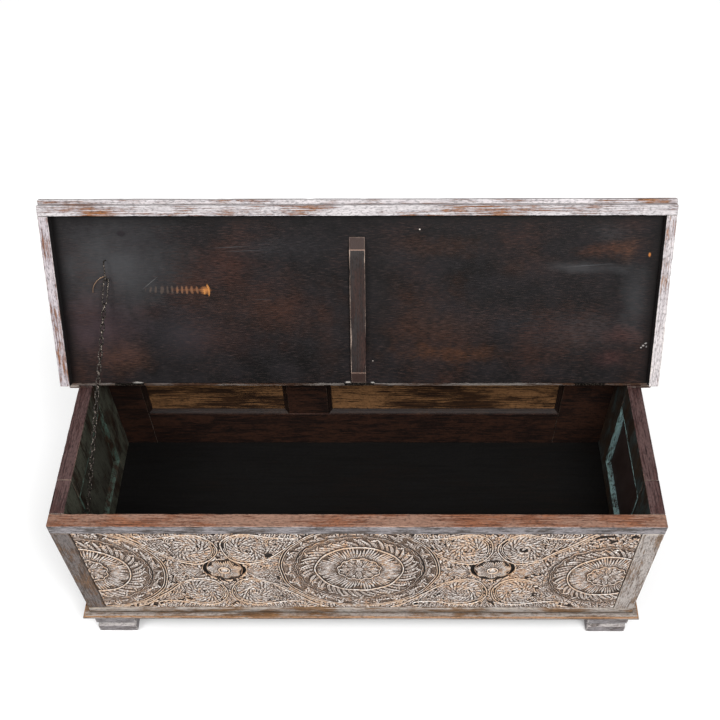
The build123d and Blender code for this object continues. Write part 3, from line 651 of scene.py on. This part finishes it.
# The plank behind, and its cut face in four meshes side by side, each with its edges turned in.
plank_in, edge_in = 0.0135, 0.0145  # how far behind the uncut face the plank and the edges reach
plank_box = board_low + (0, plank_in, 0), board_high
planed_board("front_board", post_wood, ease=0.002, box=plank_box, name="front_plank")
marks = {
    "height": np.clip((tops + 8.0) / 8.0, 0, 1),
    "keen": np.clip((0.5 - edge / 2.2) * (1 - 0.08 * handled), 0, 1),
    "sunk": np.clip(0.5 + hollow / 6.0, 0, 1),
}
splits = np.linspace(0, len(across) - 1, 5).round().astype(int)
for number, (first, last) in enumerate(zip(splits[:-1], splits[1:])):
    part = (slice(None), slice(first, last + 1))
    y = face_y - tops[part] / 1000
    x = np.broadcast_to(across[first : last + 1] / 1000, y.shape)
    z = np.broadcast_to(tall[:, None] / 1000 + level_z, y.shape)
    face = np.stack([x, y, z], -1).reshape(-1, 3)
    index = np.arange(y.size).reshape(y.shape)
    quads = quads_of(index[:-1, :-1], index[:-1, 1:], index[1:, 1:], index[1:, :-1])
    rim = np.concatenate([index[0, :-1], index[:-1, -1], index[-1, :0:-1], index[:0:-1, 0]])
    skirt = face[rim]
    skirt[:, 1] = face_y + edge_in
    low_rim = y.size + np.arange(len(rim))
    walls = np.stack([rim, low_rim, np.roll(low_rim, -1), np.roll(rim, -1)], 1)
    fields = {name: field[part].ravel() for name, field in marks.items()}
    values = {name: np.concatenate([field, field[rim]]) for name, field in fields.items()}
    points, faces = np.vstack([face, skirt]), np.vstack([quads, walls])
    carving = mesh_object(f"carving_{number + 1}", points, faces, carved_finish, values)
    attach(carving, "chest")
    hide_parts("front_board")

# ---- End walls ----
# Framed and panelled hardwood: waxed red-brown on the rim, worn green and turquoise paint inside,
# grey wash outside. A mitred double bead holds each panel, green or maroon, in its frame.
waxed_rim = coat_of("#2f1b1b #553530", "#3a2829 #56403e", 0.5, "#75564a", 0.1, (70, 4), 60, "Y")
washed_outside = coat_of("#4b3a2f #7d6048", "#6d6563 #958d89", 0.6, "#a3937f", 0.3, (90, 4), 70, "Z")


def shade_by_angle(piece, angle, turn_out=False):
    """Keeps a piece's edges sharp where they turn by more than the angle."""
    bpy.context.view_layer.objects.active = piece
    piece.select_set(True)
    if turn_out:
        bpy.ops.object.mode_set(mode="EDIT")
        bpy.ops.mesh.select_all(action="SELECT")
        bpy.ops.mesh.normals_make_consistent(inside=False)
        bpy.ops.object.mode_set(mode="OBJECT")
    bpy.ops.object.shade_smooth_by_angle(angle=radians(angle))
    piece.select_set(False)


def round_square(count):
    """Points round a unit square from its corner, count to a side."""
    run, one, nought = np.linspace(0, 1, count, endpoint=False), np.ones(count), np.zeros(count)
    sides = ((run, nought), (one, run), (1 - run, one), (nought, 1 - run))
    return np.concatenate([np.stack(side, 1) for side in sides])


def bead_frame(name, finish, box, axis, out, size):
    """A mitred double-bead moulding round the outline of a box that stands along an axis.

    out is 1 or -1, for the side of the box that it lies on, and size its width.
    """
    low, high = box
    level, rise = (high if out > 0 else low)[1 - axis], 0.0105
    profile = [(0, 0), (0, 1), (0.12, 1), (0.2, 0.7), (0.35, 0.95), (0.5, 0.7), (0.62, 0.4)]
    inward, lift = np.array(profile + [(0.8, 0.5), (1, 0.15), (1, 0)]).T
    near = np.where(lift > 0.65, 0.9, 0.0)
    inward, lift = inward * size, lift * rise
    stations = round_square(12)
    points = np.zeros((len(stations), len(inward), 3))
    points[..., 1 - axis] = level + out * lift
    for along, share in ((axis, stations[:, :1]), (2, stations[:, 1:])):
        points[..., along] = low[along] + inward + (high[along] - low[along] - 2 * inward) * share
    index = np.arange(points.size // 3).reshape(points.shape[:2])
    ahead_of = np.roll(index, -1, axis=0)
    quads = quads_of(index[:, :-1], index[:, 1:], ahead_of[:, 1:], ahead_of[:, :-1])
    inner, outer = index[:, -1], index[:, 0]
    back = quads_of(inner, np.roll(inner, -1), np.roll(outer, -1), outer)
    values = {"arris": np.tile(near, len(stations))}
    piece = mesh_object(name, points.reshape(-1, 3), np.vstack([quads, back]), finish, values)
    shade_by_angle(piece, 40, turn_out=True)
    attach(piece, "chest")


aged = "#1f1510 #43301f"
green = coat_of(aged, "#2b2d27 #4c4c42", 0.6, "#7a4a2c", 0.0, (60, 4), 40, "Z")
maroon = coat_of("#21120f #36201a", "#231816 #382a26", 0.5, "#54382a", 0.0, (60, 4), 40, "Z")
for side, inside, dull, cover, panel_paint, bright, bared in (
    ("left", 1, "#2e2f2a #55564a", 0.55, green, "#29332e #45544a", "#52685e"),
    ("right", -1, "#1d2121 #3b4645", 0.42, maroon, "#4a6a6e #8fadae", "#8fb0ad"),
):
    painted = coat_of(aged, dull, cover, "#7a4a2c", 0.0, (60, 4), 40, "Z")
    faces = [((inside, 0, 0), painted), ((0, 0, 1), waxed_rim)]
    end_wood = finish_wood(side + "_end_frame_worn_paint", washed_outside, faces)
    for part in ("front_stile", "back_stile", "top_rail", "bottom_rail"):
        planed_board(f"{side}_end_{part}", end_wood, ease=0.0015)
    panel_faces = [((inside, 0, 0), panel_paint)]
    panel_wood = finish_wood(side + "_end_panel_paint", washed_outside, panel_faces)
    planed_board(f"{side}_end_panel", panel_wood, ease=0.001)
    bead_paint = coat_of(aged, bright, 0.5, bared, 0.25, (60, 4), 25, "Z")
    bead_wood = finish_wood(side + "_end_bead_worn_paint", bead_paint)
    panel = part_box(f"{side}_end_panel")
    bead_frame(f"{side}_end_inner_bead", bead_wood, panel, 1, inside, 0.018)
    bead_frame(f"{side}_end_outer_bead", end_wood, panel, 1, -inside, 0.014)

# ---- Back wall ----
# The same framing. Inside, its panels are bare golden-brown wood with pale worn edges, in dark
# red-brown stiles, rails and beads, darkened further by painted shade of the chest's inside; outside
# it has the grey wash.
red_brown = coat_of("#150b08 #2e1a13", "#190f0b #3a2217", 0.5, "#2c1a11", 0.0, (50, 4), 50)
golden = coat_of("#1a0f08 #4a2f1b", "#33200f #8a6340", 0.52, "#b8925f", 0.55, (120, 3), 60)
washed_back = dict(washed_outside, along="X")
faces = [((0, -1, 0), red_brown), ((0, 0, 1), dict(waxed_rim, along="X"))]
back_wood = finish_wood("back_frame_red_brown", washed_back, faces)
for part in ("left_stile", "middle_stile", "right_stile", "top_rail", "bottom_rail"):
    planed_board(f"back_{part}", back_wood, ease=0.001)
panel_wood = finish_wood("back_panel_golden_brown", washed_back, [((0, -1, 0), golden)])
bead_paint = dict(red_brown, coat=("#120b08", "#2a1a11"), rubbed="#5a3c24")
bead_wood = finish_wood("back_bead_red_brown", bead_paint)
for part in ("left", "right"):
    planed_board(f"back_{part}_panel", panel_wood, ease=0.001)
    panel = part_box(f"back_{part}_panel")
    bead_frame(f"back_{part}_inner_bead", bead_wood, panel, 0, -1, 0.012)
    bead_frame(f"back_{part}_outer_bead", back_wood, panel, 0, 1, 0.012)

# ---- Floor ----
# Two wide boards on a bearer at the front and one at the back, black with age and with painted shade
# of the chest's inside; faint brown shows along the grain.
near_black_stain_and_shade = coat_of("#060504 #140c08", "#060505 #0d0b0a", 0.6, "#241a15", 0.0, (140, 5), 120)
floor_wood = finish_wood("blackened_floor_boards", near_black_stain_and_shade, rough=0.75, shine=0.15)
for end in ("front", "back"):
    board_name = f"floor_{end}_planed"
    planed_board(f"floor_{end}_board", floor_wood, ease=0.0006, worn=0.0001, name=board_name)
for end in ("front", "back"):
    planed_board(f"floor_{end}_bearer", floor_wood, ease=0.001)

# ---- Plinth ----
# Thin hardwood ledge boards, mitred all round between the walls and the feet, with a bevelled outer
# edge, in ochre-brown wood with grey wash left in streaks along it.


def swept_faces(count, around):
    """Faces round a run of closed rings of points, and one at each end of it."""
    index = np.arange(count * around).reshape(count, around)
    after = np.roll(index, -1, axis=1)
    quads = quads_of(index[:-1], after[:-1], after[1:], index[1:])
    return quads.tolist() + [index[0][::-1].tolist(), index[-1].tolist()]


plinth_wood = finish_wood(
    "grey_washed_plinth_ledge",
    coat_of("#573d28 #966d45", "#6d645f #a89e97", 0.5, "#a9794d", 0.35, (130, 3), 35),
    [((0, 1, 0), dict(washed_back, cover=0.5))],
)
tree = plinth_wood.node_tree
base = tree.nodes["Principled BSDF"].inputs["Base Color"]
# The ledge is painted darker under its outer edge and towards the wall: dirt, and painted shade.
dirt_and_shade = weigh(mark(tree, "dirt_and_shade"), 0.8)
tree.links.new(blend(dirt_and_shade, base.links[0].from_socket, "#33291f"), base)
front_low, front_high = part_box("plinth_front")
_, back_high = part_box("plinth_back")
# The ledge's section: how far in from its outer edge, and how high, with the wear there, and the dirt
# and painted shade under the outer edge and towards the wall.
section = [(-77, 0), (-1.4, 0), (-0.3, 0.6), (0, 2.0), (0, 6.4), (-0.7, 8.2), (-2.4, 9.0)]
section = np.array(section + [(-9, 9.0), (-13, 9.0), (-17, 9.0), (-77, 9.0)]) / 1000
worn_at = np.array([0, 0, 0, 0, 0.5, 1, 0.9, 0.1, 0, 0, 0])
dirt_and_shade_at = np.array([1, 1, 0.9, 0.4, 0, 0, 0, 0, 0.3, 1, 1])
centre_y = (front_low.y + back_high.y) / 2
half_depth, half_width = centre_y - front_low.y, front_high.x
cell = 0.018
for quarter, name in enumerate(("plinth_front", "plinth_right", "plinth_back", "plinth_left")):
    turned = 90 * quarter
    out_to, half = (half_width, half_depth) if quarter % 2 else (half_depth, half_width)
    share = np.linspace(-1, 1, round(2 * half / cell) + 1)
    points = np.zeros((len(share), len(section), 3))
    points[..., 0] = share[:, None] * (half + section[None, :, 0])
    points[..., 1] = -(out_to + section[:, 0])
    points[..., 2] = section[:, 1] + front_low.z
    points = points.reshape(-1, 3)
    near = np.tile(worn_at, len(share))
    points[:, 1] += 0.0007 * near * np.clip(ripple(points, 0.04, 12 + turned), 0, 2)
    faces = [face[::-1] for face in swept_faces(len(share), len(section))]
    angle = radians(turned)
    spin = np.array([[cos(angle), -sin(angle), 0], [sin(angle), cos(angle), 0], [0, 0, 1]])
    lie = np.tile([sin(angle), -cos(angle), 0.0], (len(points), 1))
    values = {"arris": near, "lie": lie, "dirt_and_shade": np.tile(dirt_and_shade_at, len(share))}
    points = points @ spin.T + [0, centre_y, 0]
    moulding = mesh_object(name + "_moulding", points, faces, plinth_wood, values)
    shade_by_angle(moulding, 50)
    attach(moulding, "chest")
    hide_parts(name)

# ---- Feet ----
# Block feet cut from the solid: a round-bottomed block over a bevelled one, under grey limewash
# that has rubbed pale on the bevels and in the neck.
foot_wood = finish_wood(
    "grey_limed_foot_blocks",
    coat_of("#4a3d38 #7a6c64", "#6c6567 #989293", 0.68, "#c2bbb8", 0.4, (40, 3), 18),
)
# Height, half the width there and half the width of its block, which stands flush outside.
layers = [(0, 48.5, 53), (0.5, 49.2, 53), (4.2, 52.7, 53), (5, 53, 53), (18, 53, 53), (30.5, 53, 53)]
layers += [(31.4, 52.5, 53), (39.4, 44.6, 53), (40, 44, 53), (45, 44, 53), (45.2, 46.5, 55)]
layers += [(46.8, 50, 55), (49.2, 53, 55), (53, 55, 55), (80, 55, 55), (111, 55, 55)]
square = 2 * round_square(12) - 1
corner = 2.5
at_corner = np.minimum(np.abs(square[:, 0]), np.abs(square[:, 1])) > 0.9
for name in ("foot_front_left", "foot_front_right", "foot_back_left", "foot_back_right"):
    low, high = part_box(name)
    outward = np.array([1 if "right" in name else -1, 1 if "back" in name else -1])
    outer = np.where(outward > 0, high[:2], low[:2]) * 1000
    rings, near = [], []
    for z, half, block in layers:
        ring = square * half
        core = np.clip(ring, corner - half, half - corner)
        away = (ring - core) / np.linalg.norm(ring - core, axis=1)[:, None]
        ring = core + away * corner + outer - outward * block
        rings.append(np.column_stack([ring, np.full(len(ring), z)]) / 1000)
        near.append(np.where(at_corner, 1.0, 0.2 if half in (53, 55) else 0.9))
    points, near = np.concatenate(rings), np.concatenate(near)
    middle = (outer - outward * 54) / 1000
    dents = 0.0005 * np.clip(ripple(points, 0.03, 31), 0, 2)
    points[:, :2] -= dents[:, None] * np.sign(points[:, :2] - middle)
    faces = swept_faces(len(layers), len(square))
    foot = mesh_object(name + "_block", points, faces, foot_wood, {"arris": near})
    shade_by_angle(foot, 40)
    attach(foot, "chest")
    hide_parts(name)

# ---- Fixed rear part of the top ----
# A hardwood board behind the hinges, with a half-round moulding under each overhanging end.
top_coat = coat_of("#4a342a #7d5a43", "#6f6662 #a39a94", 0.55, "#bfae9a", 0.35, (120, 4), 80)
top_wood = finish_wood("worn_top_board", top_coat)
planed_board("rear_top_board", top_wood, ease=0.003, name="rear_top_planed")
for side in ("left", "right"):
    planed_board(f"{side}_top_moulding", top_wood, ease=0.005)

# ---- Lid boards ----
# Two wide boards, glued edge to edge. Below they are painted near-black, satin, and rubbed through
# to red-brown wood along the grain; their edges have the rails' limewash, and their top is worn.
hinge_at = Vector(frame["joints"][0]["pos_m"])
open_by = radians(120)
turn = Matrix.Rotation(open_by, 4, "X")
closed = Matrix.Translation(hinge_at) @ turn @ Matrix.Translation(-hinge_at)
lid_lime = coat_of("#7d4e30 #b98554", "#8d868a #d6d0d1", 0.68, "#dedada", 0.2, (150, 2.6), 70)
lid_finish, tree, shader = new_finish("black_painted_lid_boards")
place = mark(tree, "plan", "Vector")


def lid_mark(x, reach, half_x, half_reach, ragged, soft=0.9, tilt=0.0):
    """How far a point of the lid lies inside a ragged oval, in mm; reach is out from the hinge."""
    centre = Vector((x / 1000, hinge_at.y - reach / 1000, 0))
    moved = Matrix.Rotation(radians(tilt), 3, "Z") @ centre
    values = {"Vector": place, "Rotation": (0, 0, radians(tilt)), "Location": -moved}
    spot = scaled(add(tree, "Mapping", values), (1000 / half_x, 1000 / half_reach, 0))
    far = add(tree, "VectorMath", {0: spot}, operation="LENGTH", out="Value")
    return spread(weigh(broken, ragged, far), 1.0, 1.0 - soft)


# Brush and grain lines run the length of the boards; broken is their sum about zero.
brushed = noise(scaled(place, (6, 260, 1)), 5.0, 5.0, 0.7)
clouds = noise(place, 14.0, 6.0, 0.6)
broken = weigh(weigh(brushed, 1.0, clouds), 2.0, -2.0)
grains = noise(scaled(place, (12, 240, 1)), 5.0, 4.0, 0.7)
grains = spread(grains, 0.4, 0.62)
paint = ramp(weigh(grains, 0.25, clouds), ((0.42, "#060505"), (0.8, "#171416")))
# Red-brown wood shows in fine lines where the paint is thin; the grey clouds among the marks below are
# dust with a painted sheen on the satin paint.
thin = weigh(brushed, 1.3, noise(place, 5.0, 3.0))
thin = spread(weigh(grains, 0.35, thin), 1.36, 1.66, 0.0, 0.65)
paint = blend(thin, paint, "#402418")
# Each mark's place and half sizes, its raggedness, colour and strength, and its own softness and
# tilt where it has them.
lid_marks = (
    (-590, 310, 200, 150, 0.7, "#3b3b3d", 0.8, 1.0), (-430, 130, 110, 80, 0.9, "#2f2c31", 0.5, 1.0),
    (-640, 150, 120, 100, 0.9, "#3b2f33", 0.7, 1.0), (-598, 75, 85, 60, 1.0, "#6b452f", 0.55),
    (-320, 310, 95, 60, 1.1, "#45271f", 0.9, 1.0), (-230, 350, 90, 30, 1.2, "#38383c", 0.5, 0.9, 3),
    (-170, 190, 190, 75, 1.5, "#41261a", 0.6), (-330, 110, 170, 40, 1.4, "#3a1f18", 0.5),
    (-75, 130, 35, 110, 1.4, "#44281b", 0.5), (-510, 190, 50, 25, 1.2, "#42211a", 0.5),
    # The dark band just right of the batten, at 60 mm, is a painted shadow of the batten.
    (60, 220, 50, 200, 0.7, "#0f0d0d", 0.7, 1.0), (190, 160, 120, 110, 1.4, "#4c2d1b", 0.75, 1.0),
    (215, 80, 160, 26, 1.3, "#6a4022", 0.5), (200, 350, 150, 30, 1.4, "#4a2c1c", 0.6),
    (430, 300, 90, 40, 1.4, "#482d20", 0.5, 0.9, 2),
    (540, 300, 130, 18, 0.9, "#39393b", 0.6, 0.9, -2),
    (610, 385, 70, 30, 1.2, "#3f3e40", 0.9, 1.0), (600, 345, 90, 22, 1.0, "#75452a", 0.6, 0.9, 3),
    (655, 345, 45, 35, 1.0, "#6a4530", 0.9), (660, 410, 50, 30, 1.0, "#4a2f28", 0.7),
    (560, 140, 170, 60, 1.2, "#3a3a3d", 0.9, 1.0), (680, 220, 45, 130, 0.8, "#353638", 0.55, 1.0, 3),
    (650, 128, 60, 30, 1.1, "#5b362e", 0.9), (632, 70, 48, 30, 1.0, "#5a3430", 0.7),
    (-565, 385, 13, 9, 0.15, "#191518", 0.9, 0.4), (703, 332, 4, 7, 0.9, "#b8743a", 0.9, 0.5),
    (716, 108, 3.5, 2.0, 0.9, "#c4c0bd", 0.8, 0.4, 30),
    (710, 102, 3.0, 2.6, 0.9, "#c4c0bd", 0.8, 0.4),
    (718, 99, 2.0, 3.0, 0.9, "#c4c0bd", 0.8, 0.4), (705, 97, 1.8, 2.0, 0.9, "#c4c0bd", 0.8, 0.4),
    (-300, 352, 60, 1.6, 0.6, "#4a4b4d", 0.5, 0.9, 3),
    (-270, 343, 70, 1.4, 0.6, "#454648", 0.5, 0.9, 2),
    (-506, 264, 31, 1.1, 0.3, "#5b5a5a", 0.6, 0.6, 39),
    (560, 306, 60, 1.6, 0.8, "#4c4d4f", 0.5, 0.9, 4),
    (-232, 222, 34, 1.2, 0.6, "#454648", 0.4), (-405, 246, 58, 4, 0.7, "#8f5a35", 0.3),
    (-372, 246, 14, 11, 0.8, "#b87840", 0.7), (-150, 350, 150, 40, 1.2, "#2f3034", 0.5, 1.0, 2),
    (330, 160, 220, 45, 1.2, "#323236", 0.5, 1.0, -3), (100, 330, 60, 40, 1.2, "#2c2c30", 0.5, 1.0),
    (150, 394, 2.2, 2.0, 0.2, "#cfc5bb", 0.9, 0.4), (36, 62, 1.8, 1.6, 0.2, "#b5aca2", 0.8, 0.4),
    (-563, 3, 14, 3, 1.6, "#cfc9c2", 0.8, 0.4), (-27, 4, 8, 4, 1.0, "#cfc9c2", 0.8, 0.4),
    (35, 3, 7, 4, 1.0, "#cfc9c2", 0.8, 0.4),
)
for x, reach, half_x, half_reach, ragged, colour, share, *other in lid_marks:
    there = lid_mark(x, reach, half_x, half_reach, ragged, *other)
    if ragged >= 1 and half_reach > 12:
        there = weigh(there, grains)
    there = weigh(there, share * (0.6 if ragged >= 1 else 1.0))
    paint = blend(there, paint, colour)
# The chain has scored a ladder of short cuts, bared to orange wood at its right end.
ladder = {"Vector": place, "Scale": 24.5, "Distortion": 4.5, "Detail": 2.0}
rungs = add(tree, "TexWave", ladder, bands_direction="X", out="Fac")
for x, half_x, half_reach, colour, share in (
    (-450, 100, 15, "#55483f", 0.45),
    (-415, 62, 14, "#8a5a38", 0.4),
    (-368, 13, 22, "#b2783f", 0.75),
):
    there = weigh(lid_mark(x, 246, half_x, half_reach, 0.4, 0.5), rungs)
    paint = blend(spread(there, 0.45, 0.8, 0.0, share), paint, colour)
# Fine pale scuffs run along the grain everywhere.
scuffs = spread(weigh(grains, 0.6, brushed), 0.95, 1.25, 0.0, 0.45)
paint = blend(scuffs, paint, "#4a4443")
# Soot-dark grime and painted shade lie along the frame, and the strip beyond the frame is limed like
# the rails.
side_inside, front_inside = 0.728, -0.3267  # the rails' inner faces, from the chest's middle
plan_x, plan_y = (add(tree, "SeparateXYZ", {0: place}, out=axis) for axis in "XY")
off_middle = add(tree, "Math", {0: plan_x}, operation="ABSOLUTE")
to_side = weigh(off_middle, -1.0, side_inside)
to_front = weigh(plan_y, 1.0, -front_inside)
inside = add(tree, "Math", {0: to_side, 1: to_front}, operation="MINIMUM")
shade_and_grime = spread(inside, 0.0, 0.03, 0.85, 0.0)
paint = blend(shade_and_grime, paint, "#0c0a0a")
limed, height = worn_coat(tree, **lid_lime)
# Near the hinge the limed edge is painted near-black, a painted shade of the gap between the lid and
# the fixed board.
at_hinge = spread(plan_y, hinge_at.y - 0.014, hinge_at.y - 0.008, 0.0, 0.92)
limed = blend(at_hinge, limed, "#1a1513")
there = weigh(spread(inside, -0.006, -0.005), facing(tree, (0, 0, -1)))
colour = blend(there, limed, paint)
weathered, _ = worn_coat(tree, **top_coat)
colour = blend(facing(tree, (0, 0, 1)), colour, weathered)
rough = spread(clouds, 0.3, 0.7, 0.42, 0.62)
rough = add(tree, "Mix", {0: there, 2: 0.75, 3: rough})
height = add(tree, "Mix", {0: there, 2: height, 3: brushed})
raised = add(tree, "Bump", {"Strength": 0.25, "Distance": 0.001, "Height": height})
values = {"Base Color": colour, "Roughness": rough, "Specular IOR Level": 0.14}
feed(shader, values | {"Normal": raised})
lid_nodes = "lid_front_board lid_back_board"
planed_board(lid_nodes, lid_finish, ease=0.0014, back_to=closed, name="lid_boards_planed")

# ---- Lid rails ----
# Three square hardwood rails, mitred in look and nailed under the boards' edges, so that the lid
# drops over the chest. Limewash has gone lilac-white on them, with orange-brown wood along the
# grain; their inner faces are painted black like the boards.
inner_black = coat_of("#1a1210 #33201a", "#100e0e #1c191a", 0.7, "#5a3a2a", 0.1, (100, 4), 50)
front_lime = coat_of("#7d4e30 #b07a4c", "#857e82 #cdc7c8", 0.68, "#d8d3d3", 0.2, (140, 2.4), 50)
left_lime = coat_of("#7b5340 #a37454", "#7a7177 #bdb4b8", 0.62, "#d5cbc7", 0.3, (120, 4), 50, "Y")
right_lime = coat_of("#9a6c4c #b98a64", "#958c90 #d2cbcc", 0.72, "#ded4ce", 0.3, (120, 3), 70, "Y")
for side, inward, lime in (
    ("front", (0, 1, 0), front_lime),
    ("left", (1, 0, 0), left_lime),
    ("right", (-1, 0, 0), right_lime),
):
    black_within = dict(inner_black, along=lime["along"])
    rail_wood = finish_wood(f"limed_lid_{side}_rail", lime, [(inward, black_within)], rough=0.75)
    planed_board(f"lid_{side}_rail", rail_wood, ease=0.0014, back_to=closed)

# ---- Lid batten ----
# A dark batten nailed across the boards so that they stay flat, its ends bevelled. Handling has
# rubbed its long edges and the top of each bevel through to pale wood.
bevel_run, half_cell = 0.032, 0.0085
thick, end_thick = 14, 4  # mm


def bevel_ends(points, low, high):
    """Thins the batten towards both its ends."""
    along = points[:, 1]
    for line in (low[1] + bevel_run, high[1] - bevel_run):
        along[np.abs(along - line) < half_cell] = line
    run = np.clip(np.minimum(along - low[1], high[1] - along) / bevel_run, 0, 1)
    points[:, 2] = high[2] - (high[2] - points[:, 2]) * (end_thick + (thick - end_thick) * run) / thick
    return points


batten_coat = coat_of("#2a1b17 #4a312a", "#151213 #2d2726", 0.55, "#b9a394", 0.3, (120, 3), 70, "Y")
batten_wood = finish_wood("dark_lid_batten", batten_coat, rough=0.6, shine=0.25)
batten = planed_board("lid_batten", batten_wood, ease=0.0015, back_to=closed, bevel=bevel_ends)
reaches = [spot.vector[1] for spot in batten.data.attributes["plan"].data]
tree = batten_wood.node_tree
base = tree.nodes["Principled BSDF"].inputs["Base Color"]
along = add(tree, "SeparateXYZ", {0: mark(tree, "plan", "Vector")}, out="Y")
for end, away in ((min(reaches), 1), (max(reaches), -1)):
    crease = end + away * bevel_run
    bevel = spread(along, crease, crease - away * 0.001, 0.0, 0.75)
    browned = blend(bevel, base.links[0].from_socket, "#382823")
    at_crease = add(tree, "Math", {0: along, 1: crease, 2: 0.0016}, operation="COMPARE")
    tree.links.new(blend(weigh(at_crease, 0.45), browned, "#a98a7a"), base)

# ---- Hinges, screws, staples and chain ----
# Forged iron, blackened and rusted brown, with pale grey patches scattered over it: rubbed iron, and a
# painted highlight.
iron, tree, shader = new_finish("rust_brown_forged_iron")
place = add(tree, "TexCoord", out="Object")
scale_marks = noise(place, 260.0, 4.0)
hue = ramp(scale_marks, ((0.36, "#14110f"), (0.52, "#2e2824"), (0.66, "#7a7067")))
wear = spread(scale_marks, 0.3, 0.7, 0.62, 0.38)
pitted = add(tree, "Bump", {"Strength": 0.4, "Distance": 0.0004, "Height": scale_marks})
feed(shader, {"Base Color": hue, "Metallic": 0.7, "Roughness": wear, "Normal": pitted})
for name, part in frame["nodes"].items():
    if "hinge" in name or "chain" in name or "staple" in name:
        part.data.materials.clear()
        part.data.materials.append(iron)
        part.data.shade_smooth()

# ---- Bent nail in the lid ----
# A thin iron wire nail beside the lid's staple, bent over and rubbed bright.
bright_iron, tree, shader = new_finish("rubbed_iron_wire")
feed(shader, {"Base Color": linear("#a08268"), "Metallic": 0.8, "Roughness": 0.45})
under_lid, wire_radius = 0.5605, 0.0008
# Across the chest, out from the hinge and up from the boards' underside, on the closed lid.
bends = [(-612, 279, 0), (-613, 281, -4), (-622, 279, -6), (-634, 271, -6), (-643, 259, -5)]
bends += [(-647, 249, -3.5), (-648, 240, -2)]
bends = [Vector((x / 1000, hinge_at.y - out / 1000, under_lid + z / 1000)) for x, out, z in bends]
line = smooth_line(np.array([closed.inverted() @ bend for bend in bends]))
way = np.gradient(line, axis=0)
way /= np.linalg.norm(way, axis=1)[:, None]
side = np.cross(way, (0.3, 0.2, 1.0))
side /= np.linalg.norm(side, axis=1)[:, None]
turns = np.linspace(0, 2 * pi, 9)[:-1]
rings = [line + wire_radius * (cos(t) * side + sin(t) * np.cross(way, side)) for t in turns]
points = np.stack(rings, 1).reshape(-1, 3)
nail = mesh_object("bent_nail", points, swept_faces(len(line), len(turns)), bright_iron)
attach(nail, "lid")
